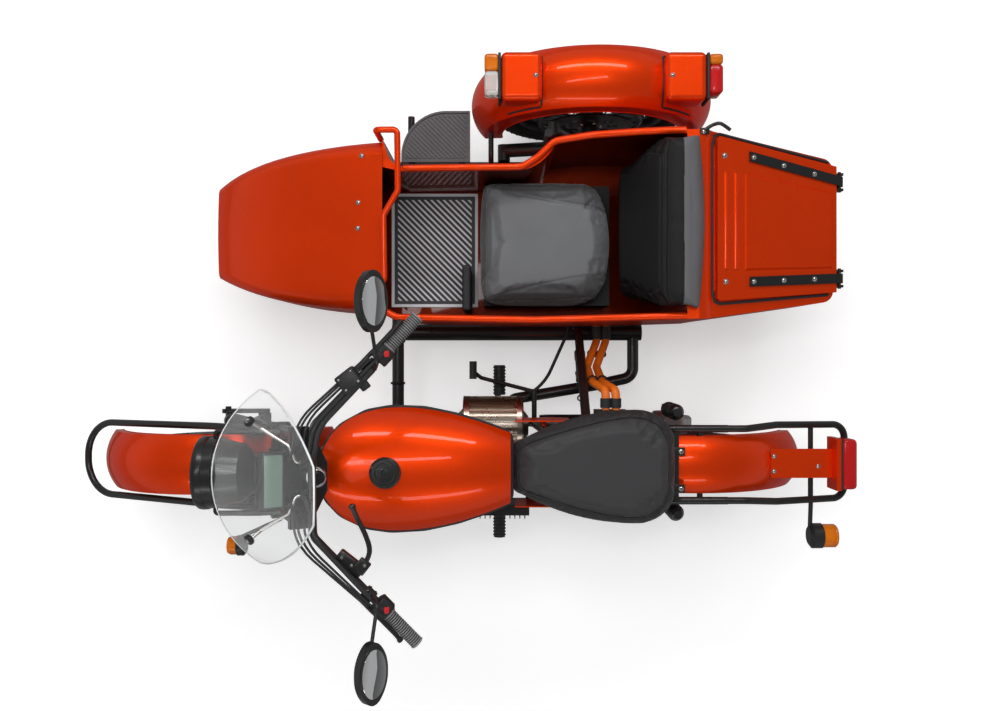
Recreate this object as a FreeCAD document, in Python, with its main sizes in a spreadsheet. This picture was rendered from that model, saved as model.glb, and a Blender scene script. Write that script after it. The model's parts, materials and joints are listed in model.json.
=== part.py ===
"""Three-wheeled sidecar motorcycle with an electric drive, modelled as separate pieces.

Millimetres.  +Z is up, the machine points along -X and its sidecar stands on the +Y side.
The origin is on the ground, under the middle of the machine's overall box.
"""
import FreeCAD, Part
import math
import os
import Sketcher
from FreeCAD import Placement, Rotation, Vector

doc = FreeCAD.newDocument("SidecarMotorcycle")
sheet = doc.addObject("Spreadsheet::Sheet", "Dims")

# ---------------------------------------------------------------- driving dimensions
DIMENSIONS = [
    # alias, value, what it measures
    ("wheelbase", 1530, "front axle to rear axle"),
    ("front_axle_x", -814, "front axle, along the machine"),
    ("bike_y", -371, "centre plane of the motorcycle"),
    ("track", 1207, "rear wheel centre to sidecar wheel centre, across"),
    ("wheel_lead", 266, "sidecar axle ahead of the rear axle"),
    ("tyre_radius", 341.5, "outside radius of a tyre"),
    ("tyre_width", 105, "section width of a tyre"),
    ("tyre_wall", 11, "thickness of the tyre's casing"),
    ("bead_radius", 241, "radius of the bead seat"),
    ("rim_width", 78, "outside width of the rim"),
    ("rim_flange", 13, "height of the rim's flange above the bead seat"),
    ("rim_wall", 3.5, "thickness of the rim"),
    ("well_depth", 17, "depth of the rim's well"),
    ("hub_half", 48, "half the length of the hub"),
    ("hub_radius", 31, "radius of the hub's barrel"),
    ("hub_flange_radius", 58, "radius of the spoke flanges"),
    ("hub_flange_y", 32, "spoke flange from the wheel's centre plane"),
    ("hub_flange_wall", 7, "thickness of a spoke flange"),
    ("spoke_count", 36, "spokes in a wheel"),
    ("spoke_dia", 4.6, "diameter of a spoke"),
    ("spoke_lean", 34, "angle by which a spoke leaves the hub off the radius"),
    ("axle_radius", 10, "radius of the wheel axles"),
    ("running_gap", 0.05, "radial clearance of a shaft in its bore"),
    ("disc_radius", 150, "outside radius of a brake disc"),
    ("disc_inner", 104, "inside radius of the disc's braking band"),
    ("disc_wall", 5, "thickness of a brake disc"),
    ("disc_y", 62, "brake disc from the wheel's centre plane"),
    ("seat_gap", 0.3, "gap between a piece and what it rests on"),
    ("rake", 28, "steering axis, back from the vertical"),
    ("head_x", -369, "top of the steering stem, along the machine"),
    ("head_z", 1000, "top of the steering stem, above the ground"),
    ("head_top", 46, "top of the head tube, down the stem from its top"),
    ("head_length", 172, "length of the head tube"),
    ("head_radius", 30, "outside radius of the head tube"),
    ("stem_radius", 15, "radius of the steering stem"),
    ("yoke_wall", 22, "thickness of a fork yoke"),
    ("leg_ahead", 45, "fork legs ahead of the steering axis"),
    ("leg_spread", 118, "fork leg from the centre plane"),
    ("leg_dia", 38, "diameter of a fork leg"),
    ("fender_wall", 3, "thickness of fender metal"),
    ("front_fender_radius", 393, "outside radius of the front fender"),
    ("front_fender_width", 184, "width of the front fender"),
    ("rear_fender_radius", 420, "outside radius of the rear fender"),
    ("rear_fender_width", 178, "width of the rear fender"),
    ("side_fender_radius", 413, "outside radius of the sidecar fender"),
    ("side_fender_width", 192, "width of the sidecar fender"),
    ("frame_tube", 28, "diameter of the motorcycle's cradle tubes"),
    ("cradle_half", 100, "cradle tube from the motorcycle's centre plane"),
    ("cradle_z", 255, "height of the lower frame tubes, both frames"),
    ("seat_rail_z", 692, "height of the seat rails"),
    ("seat_rail_tube", 24, "diameter of the seat rails"),
    ("seat_rail_half", 112, "seat rail from the motorcycle's centre plane"),
    ("rail_tube", 58, "diameter of the sidecar's main rails"),
    ("inner_rail_y", 52, "sidecar rail beside the motorcycle"),
    ("outer_rail_y", 640, "sidecar rail beside the wheel"),
    ("tank_top", 890, "top of the tank"),
    ("tank_base", 738, "underside of the tank"),
    ("saddle_top", 797, "top of the saddle"),
    ("saddle_base", 734, "underside of the saddle"),
    ("saddle_half", 181, "half the greatest width of the saddle"),
    ("saddle_front_x", 168, "front of the saddle, along the machine"),
    ("saddle_rear_x", 676, "rear of the saddle, along the machine"),
    ("saddle_slope", 40, "how far the saddle's sides slope in from base to top"),
    ("motor_radius", 86, "radius of the motor's casing"),
    ("fin_height", 15, "height of the motor's cooling fins"),
    ("fin_wall", 3, "thickness of a motor fin"),
    ("fin_count", 32, "fins round the motor"),
    ("motor_length", 176, "length of the finned motor case"),
    ("motor_x", 113, "middle of the motor, along the machine"),
    ("motor_z", 400, "height of the motor's shaft"),
    ("shaft_offset", 100, "motor and drive shaft, right of the centre plane"),
    ("tub_floor_z", 294, "underside of the sidecar body"),
    ("tub_wall", 12, "thickness of the sidecar body's wall with its stiffening"),
    ("lid_length", 431, "trunk lid, front to hinge"),
    ("lid_slope", 15.705, "slope of the trunk lid, down to the rear"),
    ("lid_wall", 20, "depth of the trunk lid"),
    ("lid_panel_rise", 5, "height of the lid's raised panel and ribs"),
    ("rim_roll", 22, "diameter of the rolled rim round the cockpit"),
    ("lid_hinge_x", 1204, "axis of the lid's hinge, along the machine"),
    ("lid_hinge_z", 662, "axis of the lid's hinge, above the ground"),
    ("guard_tube", 22, "diameter of the guard hoops"),
    ("bar_tube", 22, "diameter of the handlebar"),
    ("grip_dia", 34, "diameter of a hand grip"),
    ("cable_dia", 27, "diameter of a power cable"),
]


class Dim:
    """A size that carries the spreadsheet formula it comes from."""

    def __init__(self, value, formula):
        self.value = float(value)
        self.formula = formula

    def __float__(self):
        return self.value

    def __neg__(self):
        return Dim(-self.value, f"(-{self.formula})")

    def __add__(self, other):
        return Dim(self.value + float(other), f"({self.formula} + {formula_of(other)})")

    def __radd__(self, other):
        return Dim(float(other) + self.value, f"({formula_of(other)} + {self.formula})")

    def __sub__(self, other):
        return Dim(self.value - float(other), f"({self.formula} - {formula_of(other)})")

    def __rsub__(self, other):
        return Dim(float(other) - self.value, f"({formula_of(other)} - {self.formula})")

    def __mul__(self, other):
        return Dim(self.value * float(other), f"({self.formula} * {formula_of(other)})")

    def __rmul__(self, other):
        return self * other

    def __truediv__(self, other):
        return Dim(self.value / float(other), f"({self.formula} / {formula_of(other)})")


def formula_of(size):
    """The spreadsheet formula of a size; a plain number is its own formula."""
    return size.formula if isinstance(size, Dim) else f"({float(size)!r})"


class Sizes:
    """Every driving dimension under its alias."""


size = Sizes()
for row, (alias, value, meaning) in enumerate(DIMENSIONS, start=1):
    sheet.set(f"A{row}", alias)
    sheet.set(f"B{row}", str(value))
    sheet.set(f"C{row}", meaning)
    sheet.setAlias(f"B{row}", alias)
    setattr(size, alias, Dim(value, f"Dims.{alias}"))
doc.recompute()

rake_sin = Dim(math.sin(math.radians(float(size.rake))), "sin(Dims.rake)")
rake_cos = Dim(math.cos(math.radians(float(size.rake))), "cos(Dims.rake)")
rear_axle_x = size.front_axle_x + size.wheelbase
side_axle_x = rear_axle_x - size.wheel_lead
side_wheel_y = size.bike_y + size.track
axle_z = size.tyre_radius
shaft_y = size.bike_y + size.shaft_offset

NODES = {}
serial = iter(range(1, 100000))


# ---------------------------------------------------------------- helpers
def helper_name(kind):
    """A name for a construction object that isn't a finished piece."""
    return f"{kind}_{next(serial)}"


def keep(label, piece):
    """Name a finished piece; its label names its file."""
    piece.Label = label
    NODES[label] = piece
    return piece


def bind(owner, prop, value):
    """Tie a property to the spreadsheet, or set a plain number."""
    if isinstance(value, Dim):
        owner.setExpression(prop, value.formula)
    else:
        setattr(owner, prop, value)


def place(piece, x=0, y=0, z=0, axis=None, angle=0):
    """Put a piece at a point, turned about an axis, both from the spreadsheet."""
    turn = Rotation(Vector(*axis), float(angle)) if axis else Rotation()
    piece.Placement = Placement(Vector(float(x), float(y), float(z)), turn)
    for letter, value in zip("xyz", (x, y, z)):
        if isinstance(value, Dim):
            piece.setExpression(f".Placement.Base.{letter}", value.formula)
    if isinstance(angle, Dim):
        piece.setExpression(".Placement.Rotation.Angle", angle.formula)
    return piece


def origin_plane(body, role):
    """A body's own origin plane."""
    return next(item for item in body.Origin.OriginFeatures if item.Role == role)


def new_sketch(body, role, offset=0):
    """A sketch on one of the body's origin planes, moved off along the normal."""
    sketch = body.newObject("Sketcher::SketchObject", helper_name("Sketch"))
    sketch.AttachmentSupport = [(origin_plane(body, role), "")]
    sketch.MapMode = "FlatFace"
    sketch.AttachmentOffset = Placement(Vector(0, 0, float(offset)), Rotation())
    if isinstance(offset, Dim):
        sketch.setExpression(".AttachmentOffset.Base.z", offset.formula)
    return sketch


def arc_between(start, end, radius):
    """Sketch arc from start to end; a positive radius bulges to the left of that way."""
    middle = (start + end) * 0.5
    along = end - start
    left = Vector(-along.y, along.x, 0).normalize()
    height = math.sqrt(max(radius * radius - along.Length ** 2 / 4, 0))
    side = 1 if radius > 0 else -1
    centre = middle - left * (side * height)
    first, last = (end, start) if radius > 0 else (start, end)
    angles = [math.atan2(point.y - centre.y, point.x - centre.x) for point in (first, last)]
    return Part.ArcOfCircle(Part.Circle(centre, Vector(0, 0, 1), abs(radius)), *angles)


def draw(sketch, outline):
    """Draw a closed outline of (u, v) or (u, v, arc radius to the next point)."""
    base = sketch.GeometryCount
    corners = [Vector(float(corner[0]), float(corner[1]), 0) for corner in outline]
    count = len(outline)
    ends = []
    for index, corner in enumerate(outline):
        start = corners[index]
        end = corners[(index + 1) % count]
        if len(corner) == 3:
            radius = float(corner[2])
            edge = sketch.addGeometry(arc_between(start, end, radius), False)
            ends.append((2, 1) if radius > 0 else (1, 2))
            number = sketch.addConstraint(Sketcher.Constraint("Radius", edge, abs(radius)))
            if isinstance(corner[2], Dim):
                sketch.renameConstraint(number, f"bend{edge}")
                sketch.setExpression(f"Constraints.bend{edge}", f"abs({corner[2].formula})")
        else:
            sketch.addGeometry(Part.LineSegment(start, end), False)
            ends.append((1, 2))
    for index in range(count):
        following = (index + 1) % count
        sketch.addConstraint(Sketcher.Constraint(
            "Coincident", base + index, ends[index][1], base + following, ends[following][0]))
    for index, corner in enumerate(outline):
        for kind, value, letter in (("DistanceX", corner[0], "u"), ("DistanceY", corner[1], "v")):
            number = sketch.addConstraint(Sketcher.Constraint(
                kind, -1, 1, base + index, ends[index][0], float(value)))
            if isinstance(value, Dim):
                sketch.renameConstraint(number, f"{letter}{base + index}")
                sketch.setExpression(f"Constraints.{letter}{base + index}", value.formula)
    return sketch


def new_body():
    """An empty PartDesign body."""
    return doc.addObject("PartDesign::Body", helper_name("Body"))


def pad(body, sketch, depth, symmetric=False, reverse=False):
    """Extrude a sketch into material."""
    feature = body.newObject("PartDesign::Pad", helper_name("Pad"))
    feature.Profile = sketch
    bind(feature, "Length", depth)
    feature.SideType = "Symmetric" if symmetric else "One side"
    feature.Reversed = reverse
    body.Tip = feature
    return feature


def pocket(body, sketch, depth, symmetric=False, reverse=False):
    """Extrude a sketch out of the material."""
    feature = body.newObject("PartDesign::Pocket", helper_name("Pocket"))
    feature.Profile = sketch
    bind(feature, "Length", depth)
    feature.SideType = "Symmetric" if symmetric else "One side"
    feature.Reversed = reverse
    body.Tip = feature
    return feature


def revolve(body, sketch, angle=360, axis="V_Axis"):
    """Turn a sketch about one of its own axes, evenly to both sides."""
    feature = body.newObject("PartDesign::Revolution", helper_name("Revolution"))
    feature.Profile = sketch
    feature.ReferenceAxis = (sketch, [axis])
    bind(feature, "Angle", angle)
    feature.Midplane = True
    body.Tip = feature
    return feature


def padded(role, outline, depth, offset=0, symmetric=False, reverse=False):
    """A body made by one pad of one outline."""
    body = new_body()
    pad(body, draw(new_sketch(body, role, offset), outline), depth, symmetric, reverse)
    return body


def turned(outline, angle=360, role="XY_Plane", axis="V_Axis"):
    """A body made by turning one outline."""
    body = new_body()
    revolve(body, draw(new_sketch(body, role), outline), angle, axis)
    return body


def lofted(role, sections, ruled=False):
    """A body lofted through (offset, outline) sections."""
    body = new_body()
    sketches = [draw(new_sketch(body, role, offset), outline) for offset, outline in sections]
    feature = body.newObject("PartDesign::AdditiveLoft", helper_name("Loft"))
    feature.Profile = sketches[0]
    feature.Sections = sketches[1:]
    feature.Ruled = ruled
    body.Tip = feature
    return body


def cylinder(radius, length, x=0, y=0, z=0, axis=None, angle=0):
    """A round bar along local Z."""
    bar = doc.addObject("Part::Cylinder", helper_name("Cylinder"))
    bind(bar, "Radius", radius)
    bind(bar, "Height", length)
    return place(bar, x, y, z, axis, angle)


def cross_bar(radius, length, x, y, z):
    """A round bar along Y, centred on y."""
    return cylinder(radius, length, x, y + length / 2, z, (1, 0, 0), 90)


def block(length, width, height, x, y, z):
    """A block centred on x and y, standing on z."""
    box = doc.addObject("Part::Box", helper_name("Box"))
    bind(box, "Length", length)
    bind(box, "Width", width)
    bind(box, "Height", height)
    return place(box, x - length / 2, y - width / 2, z)


def fuse(*pieces):
    """One piece of several welded or cast together."""
    union = doc.addObject("Part::MultiFuse", helper_name("Fusion"))
    union.Shapes = list(pieces)
    return union


def rounded(piece, radius):
    """A piece with all its edges rounded."""
    doc.recompute()
    soft = doc.addObject("Part::Fillet", helper_name("Fillet"))
    soft.Base = piece
    soft.Edges = [(number, float(radius), float(radius)) for number in range(1, len(piece.Shape.Edges) + 1)]
    return soft


def cut(base, tool):
    """A piece with another's shape taken out of it."""
    difference = doc.addObject("Part::Cut", helper_name("Cut"))
    difference.Base = base
    difference.Tool = tool
    return difference


def common(first, second):
    """What two shapes share."""
    shared = doc.addObject("Part::Common", helper_name("Common"))
    shared.Base = first
    shared.Tool = second
    return shared


def together(*pieces):
    """Several separate solids that count as one node."""
    compound = doc.addObject("Part::Compound", helper_name("Compound"))
    compound.Links = list(pieces)
    return compound


def mirrored(piece):
    """The same piece on the other side of the motorcycle's centre plane."""
    twin = doc.addObject("Part::Mirroring", helper_name("Mirror"))
    twin.Source = piece
    twin.Normal = Vector(0, 1, 0)
    twin.Base = Vector(0, float(size.bike_y), 0)
    twin.setExpression(".Base.y", size.bike_y.formula)
    return twin


def shaped(shape):
    """A document object round a shape made by Part's own functions."""
    feature = doc.addObject("Part::Feature", helper_name("Shape"))
    feature.Shape = shape
    return feature


def numbers(points):
    """Points with their sizes read from the spreadsheet."""
    return [Vector(*(float(value) for value in point)) for point in points]


def bent_path(points, bend):
    """A wire of straight runs joined by tangent arcs of one bend radius."""
    edges = []
    last = points[0]
    for before, corner, after in zip(points, points[1:], points[2:]):
        back = (before - corner).normalize()
        ahead = (after - corner).normalize()
        half = back.getAngle(ahead) / 2
        reach = bend / math.tan(half)
        bisector = (back + ahead).normalize()
        middle = corner + bisector * (bend / math.sin(half) - bend)
        edges.append(Part.LineSegment(last, corner + back * reach).toShape())
        edges.append(Part.Arc(corner + back * reach, middle, corner + ahead * reach).toShape())
        last = corner + ahead * reach
    edges.append(Part.LineSegment(last, points[-1]).toShape())
    return Part.Wire(edges)


def tube(points, diameter, bend=40):
    """A round tube's solid along runs and arcs."""
    route = numbers(points)
    start = (route[1] - route[0]).normalize()
    section = Part.Face(Part.Wire(Part.makeCircle(float(diameter) / 2, route[0], start)))
    return bent_path(route, bend).makePipe(section)


def welded(*shapes):
    """Shapes fused into one solid."""
    return shaped(shapes[0].multiFuse(list(shapes[1:])))


def both_sides(points):
    """A route and its mirror image across the motorcycle's centre plane; y counts from it."""
    right = [(x, size.bike_y + y, z) for x, y, z in points]
    left = [(x, size.bike_y - y, z) for x, y, z in points]
    return right, left


# ---------------------------------------------------------------- wheels
def arch(radius, width, crown, skirt, wall):
    """Section of a fender: two skirts under a crowned top, one wall thick."""
    half = width / 2
    shoulder = radius - crown
    crown_bend = (half * half + crown * crown) / (2 * crown)
    inner_half = half - wall
    inner_crown = crown - wall
    inner_bend = (inner_half * inner_half + inner_crown * inner_crown) / (2 * inner_crown)
    return [
        (shoulder - skirt, -half),
        (shoulder, -half, -crown_bend),
        (shoulder, half),
        (shoulder - skirt, half),
        (shoulder - skirt, inner_half),
        (shoulder, inner_half, inner_bend),
        (shoulder, -inner_half),
        (shoulder - skirt, -inner_half),
    ]


def make_tyre():
    """Tyre casing: beads, round shoulders and a crowned tread, open towards the rim."""
    half = size.tyre_width / 2
    bead_half = size.rim_width / 2 - size.rim_wall - size.seat_gap
    bead = size.bead_radius + size.rim_wall + size.seat_gap
    lip = size.bead_radius + size.rim_flange + 2
    tread = size.tyre_radius
    wide = size.bead_radius + 46
    crown = 26
    shoulder = tread - crown
    flat_half = half - 4
    crown_bend = (flat_half * flat_half + crown * crown) / (2 * crown)
    wall = size.tyre_wall
    return turned([
        (bead, -bead_half),
        (lip, -bead_half),
        (wide, -half),
        (shoulder, -flat_half, -crown_bend),
        (shoulder, flat_half),
        (wide, half),
        (lip, bead_half),
        (bead, bead_half),
        (bead, bead_half - wall),
        (lip, bead_half - wall),
        (wide, half - wall),
        (shoulder - wall, half - wall - 2),
        (shoulder - wall, wall + 2 - half),
        (wide, wall - half),
        (lip, wall - bead_half),
        (bead, wall - bead_half),
    ])


def make_rim():
    """Rim with flanges, bead seats and a dropped well."""
    half = size.rim_width / 2
    seat = size.bead_radius
    flange = seat + size.rim_flange
    well = seat - size.well_depth
    wall = size.rim_wall
    well_half = half - 22
    return turned([
        (flange, -half),
        (seat - wall, -half),
        (seat - wall, -well_half - 6),
        (well - wall, -well_half),
        (well - wall, well_half),
        (seat - wall, well_half + 6),
        (seat - wall, half),
        (flange, half),
        (flange, half - wall),
        (seat + wall, half - wall),
        (seat, well_half + 4),
        (well, well_half - 2),
        (well, 2 - well_half),
        (seat, -well_half - 4),
        (seat + wall, wall - half),
        (flange, wall - half),
    ])


def make_hub(disc_side):
    """Hub with two spoke flanges, a bore for the axle and a brake disc on one side."""
    half = size.hub_half
    barrel = size.hub_radius
    flange = size.hub_flange_radius
    inside = size.hub_flange_y - size.hub_flange_wall / 2
    outside = size.hub_flange_y + size.hub_flange_wall / 2
    bore = size.axle_radius + size.running_gap
    hub = turned([
        (bore, -half), (barrel, -half), (barrel, -outside), (flange, -outside), (flange, -inside),
        (barrel, -inside), (barrel, inside), (flange, inside), (flange, outside), (barrel, outside),
        (barrel, half), (bore, half),
    ])
    near = half * disc_side
    far = (size.disc_y + size.disc_wall / 2) * disc_side
    face = (size.disc_y - size.disc_wall / 2) * disc_side
    disc = turned([
        (barrel - 8, near), (barrel + 14, near), (barrel + 22, face), (size.disc_radius, face),
        (size.disc_radius, far), (barrel - 8, far),
    ])
    slot_count = 8
    slots = [cylinder(19, 40, 0, 0, 0) for _ in range(slot_count)]
    for number, slot in enumerate(slots):
        angle = math.radians(360 * number / slot_count)
        middle = (float(size.disc_inner) + float(barrel) + 22) / 2
        place(slot, middle * math.cos(angle), 20 + float(size.disc_y) * disc_side,
              middle * math.sin(angle), (1, 0, 0), 90)
    return fuse(hub, cut(disc, together(*slots)))


def make_spokes():
    """Wire spokes leaning both ways between the hub's flanges and the rim's well."""
    count = int(float(size.spoke_count))
    lean = math.radians(float(size.spoke_lean))
    inner = float(size.hub_flange_radius) - 6
    outer = float(size.bead_radius - size.well_depth - size.rim_wall / 2)
    reach = math.acos(inner * math.sin(lean) / outer) - (math.pi / 2 - lean)
    spokes = []
    for number in range(count):
        side = 1 if number % 2 else -1
        way = 1 if (number // 2) % 2 else -1
        turn = 2 * math.pi * number / count
        foot_turn = turn - way * reach
        flange_y = side * float(size.hub_flange_y)
        rim_y = side * 9
        foot = Vector(inner * math.cos(foot_turn), flange_y, inner * math.sin(foot_turn))
        tip = Vector(outer * math.cos(turn), rim_y, outer * math.sin(turn))
        along = tip - foot
        spokes.append(Part.makeCylinder(float(size.spoke_dia) / 2, along.Length, foot, along))
    return shaped(Part.makeCompound(spokes))


def make_wheel(name, x, y, disc_side):
    """A tyre and a laced wheel, each on its own node, at one axle."""
    keep(f"{name}_tyre", place(make_tyre(), x, y, axle_z))
    laced = fuse(make_rim(), make_hub(disc_side), make_spokes())
    keep(f"{name}_wheel", place(laced, x, y, axle_z))


def make_caliper(disc_side, angle, x, y):
    """Brake caliper astride a disc, on a bracket that grips the axle; the angle turns it from upright."""
    near = (size.disc_y - size.disc_wall / 2 - CALIPER_GAP) * disc_side
    far = (size.disc_y + size.disc_wall / 2 + CALIPER_GAP) * disc_side
    over = size.disc_radius + CALIPER_GAP
    low = size.disc_inner + 2
    wall = 13 * disc_side
    body = padded("YZ_Plane", [
        (near - wall, low), (near - wall, over + 13), (far + wall, over + 13), (far + wall, low),
        (far, low), (far, over), (near, over), (near, low),
    ], 78, symmetric=True)
    piston = cylinder(21, 10 + wall * disc_side, 0, far, low + 24, (1, 0, 0), -90 * disc_side)
    bracket = padded("XZ_Plane", [
        (-30, -26), (-30, 10), (-44, 118), (44, 118), (30, 10), (30, -26),
    ], 9, symmetric=True)
    place(bracket, 0, far + 8 * disc_side, 0)
    return place(fuse(body, piston, bracket), x, y, axle_z, (0, 1, 0), angle)


make_wheel("front", size.front_axle_x, size.bike_y, 1)
make_wheel("rear", rear_axle_x, size.bike_y, -1)
make_wheel("sidecar", side_axle_x, side_wheel_y, -1)


CALIPER_GAP = 5.5


# ---------------------------------------------------------------- motorcycle frame
def raked(piece):
    """Stand a piece on the steering axis; its local Z runs up the stem."""
    return place(piece, size.head_x, size.bike_y, size.head_z, (0, 1, 0), size.rake)


def on_stem(x, y, z):
    """Where a point given along the steering stem lies on the machine."""
    return (size.head_x + x * rake_cos + z * rake_sin, size.bike_y + y,
            size.head_z - x * rake_sin + z * rake_cos)


head_low = -(size.head_top + size.head_length)


def upright_x(z):
    """Middle of a frame upright at a height; the uprights lean back a little."""
    return 252 + (z - size.cradle_z) * (33 / 447)


def make_main_frame():
    """Head tube, backbone, double cradle, uprights, seat rails, stays and seats for what they carry."""
    dia = size.frame_tube
    low = size.cradle_z
    half = size.cradle_half
    rail = size.seat_rail_half
    rail_z = size.seat_rail_z
    rail_dia = size.seat_rail_tube
    head = tube([on_stem(0, 0, head_low), on_stem(0, 0, -size.head_top)], size.head_radius * 2)
    shapes = [head]
    backbone = [on_stem(22, 0, head_low + 48), (-300, size.bike_y, 700), (270, size.bike_y, 700)]
    shapes.append(tube(backbone, 46, 120))
    start_x, _, start_z = on_stem(20, 0, head_low + 108)
    knee_x, _, knee_z = on_stem(98, 0, head_low - 22)
    cradle = [(start_x, 10, start_z), (knee_x, 58, knee_z), (-340, half, 560), (-325, half, low),
              (252, half, low), (upright_x(702), half, 702)]
    rails = [(200, 60, rail_z), (300, rail, rail_z), (rear_axle_x + 129, rail, rail_z)]
    stays = [(upright_x(460), half, 460), (520, rail, 630), (640, rail, rail_z - 3)]
    drops = [(rear_axle_x - 22, rail, rail_z), (rear_axle_x - 22, rail, 652)]
    lug_x = rear_axle_x + 44
    lugs = [(lug_x, rail, rail_z - 8), (lug_x, size.rear_fender_width / 2 + size.seat_gap, rail_z - 8)]
    for route, thick, bend in ((cradle, dia, 56), (rails, rail_dia, 60), (stays, 18, 80),
                               (drops, 20, 1), (lugs, 18, 1)):
        for side in both_sides(route):
            shapes.append(tube(side, thick, bend))
    cross = ((upright_x(694), half + 8, 690, dia), (-312, half, low, 22), (110, half, low, 22),
             (-150, half, low + 20, 28), (-60, half, low + 20, 28))
    for x, reach, z, thick in cross:
        shapes.append(tube([(x, size.bike_y - reach, z), (x, size.bike_y + reach, z)], thick))
    for x in (60, 150):
        shapes.append(tube([(x, size.bike_y, 700), (x, size.bike_y, size.tank_base - size.seat_gap)], 40))
    frame = welded(*shapes)
    bore = cylinder(size.stem_radius + size.running_gap, size.head_length + 40, 0, 0, head_low - 20)
    return cut(frame, raked(together(bore)))


keep("main_frame", make_main_frame())


def make_swing_arm():
    """Rear arm: pivot tube, plain left leg, shaft housing on the right, and the axle."""
    pivot_x = upright_x(345) + size.frame_tube / 2 + 22 + 2 * size.seat_gap
    left_y = size.bike_y - 112
    right_y = shaft_y + 2
    left = tube([(pivot_x, left_y, 345), (rear_axle_x - 20, left_y, axle_z)], 40)
    right = tube([(pivot_x - 6, right_y, 345), (rear_axle_x - 92, right_y, axle_z)], 64)
    pivot = tube([(pivot_x, left_y - 18, 345), (pivot_x, right_y + 30, 345)], 44)
    boss = tube([(rear_axle_x, left_y - 20, axle_z), (rear_axle_x, left_y + 20, axle_z)], 54)
    axle = tube([(rear_axle_x, left_y - 34, axle_z), (rear_axle_x, size.bike_y + 66, axle_z)],
                size.axle_radius * 2)
    low_x = rear_axle_x - 16
    lugs = [tube([(low_x, size.bike_y - 175, 392), (low_x, left_y, 392)], 24),
            tube([(low_x, left_y, 392), (rear_axle_x - 4, left_y, 350)], 26)]
    arms = welded(left, right, pivot, boss, axle, *lugs)
    return fuse(arms, make_caliper(-1, -42, rear_axle_x, size.bike_y))


keep("swing_arm", make_swing_arm())


def make_final_drive():
    """Bevel box on the right of the rear wheel, with its ribbed cover and shock lug."""
    box = turned([
        (0, 68), (70, 68), (88, 76), (88, 122), (80, 130), (52, 134), (44, 146), (0, 146),
    ])
    place(box, rear_axle_x, size.bike_y, axle_z)
    ribs = [block(6, 10, 168, rear_axle_x, size.bike_y + 128, axle_z - 84)]
    neck = tube([(rear_axle_x - 91, shaft_y + 2, axle_z), (rear_axle_x - 60, shaft_y + 2, axle_z)], 78)
    lug = tube([(rear_axle_x - 16, size.bike_y + 100, 418),
                (rear_axle_x - 16, size.bike_y + 175, 418)], 24)
    return fuse(box, shaped(neck), shaped(lug), *ribs)


keep("final_drive", make_final_drive())


def make_rear_shocks():
    """Two sprung dampers between the rear arm and the seat rails."""
    side_y = 160
    low_x = rear_axle_x - 16
    high_x = rear_axle_x - 22
    right = tube([(low_x, size.bike_y + side_y, 430.3), (high_x, size.bike_y + side_y, 672)], 54)
    left = tube([(low_x, size.bike_y - side_y, 404.3), (high_x, size.bike_y - side_y, 672)], 54)
    pins = [tube([(high_x, size.bike_y + way * (size.seat_rail_half + 12 + size.seat_gap), 664),
                  (high_x, size.bike_y + way * 190, 664)], 20) for way in (1, -1)]
    return together(welded(right, pins[0]), welded(left, pins[1]))


keep("rear_shocks", make_rear_shocks())
keep("battery_block", block(284, 172, 350, -162, size.bike_y, size.cradle_z + 34 + size.seat_gap))


def make_drive_motor():
    """Finned motor case with its shaft along the machine, and the two end covers."""
    length = size.motor_length
    radius = size.motor_radius
    case = turned([(0, -length / 2), (radius, -length / 2), (radius, length / 2), (0, length / 2)])
    fin = case.newObject("Sketcher::SketchObject", helper_name("Sketch"))
    fin.AttachmentSupport = [(origin_plane(case, "XZ_Plane"), "")]
    fin.MapMode = "FlatFace"
    half = size.fin_wall / 2
    tip = radius + size.fin_height
    draw(fin, [(radius - 4, -half), (tip, -half), (tip, half), (radius - 4, half)])
    first = pad(case, fin, length - 16, symmetric=True)
    pattern = case.newObject("PartDesign::PolarPattern", helper_name("Pattern"))
    pattern.Originals = [first]
    pattern.Axis = (origin_axis(case, "Y_Axis"), [""])
    pattern.Angle = 360
    pattern.Occurrences = int(float(size.fin_count))
    case.Tip = pattern
    covers = turned([
        (0, -length / 2 - 34), (40, -length / 2 - 34), (64, -length / 2 - 12), (tip, -length / 2 - 10),
        (tip, -length / 2 + 8), (0, -length / 2 + 8),
    ])
    back = turned([
        (0, length / 2 - 8), (tip, length / 2 - 8), (tip, length / 2 + 8), (58, length / 2 + 12),
        (32, length / 2 + 32), (0, length / 2 + 32),
    ])
    foot = block(40, 50, 34, 0, -28, -(size.motor_z - size.cradle_z - size.frame_tube / 2 - size.seat_gap))
    motor = fuse(case, covers, back, foot)
    return place(motor, size.motor_x, shaft_y, size.motor_z, (0, 0, 1), -90)


def origin_axis(body, role):
    """A body's own origin axis."""
    return next(item for item in body.Origin.OriginFeatures if item.Role == role)


keep("drive_motor", make_drive_motor())


def make_inverter():
    """Power electronics box on the left, its cooling fins standing out of the cover."""
    box = block(170, 34, 150, 145, size.bike_y - 156, 460)
    fins = [block(3, 12, 140, 72 + 16 * number, size.bike_y - 178, 465) for number in range(10)]
    arm = block(32, 56, 20, 238, size.bike_y - 121, 470)
    return fuse(box, arm, *fins)


keep("inverter", make_inverter())

# ---------------------------------------------------------------- tank, saddle, rear end
TANK_SECTIONS = [
    # x, half width at the base, half width at the shoulder, base z, shoulder z, top z
    (-384, 44, 62, 852, 862, 876),
    (-335, 108, 134, 806, 834, 884),
    (-190, 150, 184, 738, 800, 890),
    (10, 120, 160, 738, 790, 872),
    (168, 78, 106, 738, 772, 822),
]


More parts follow.
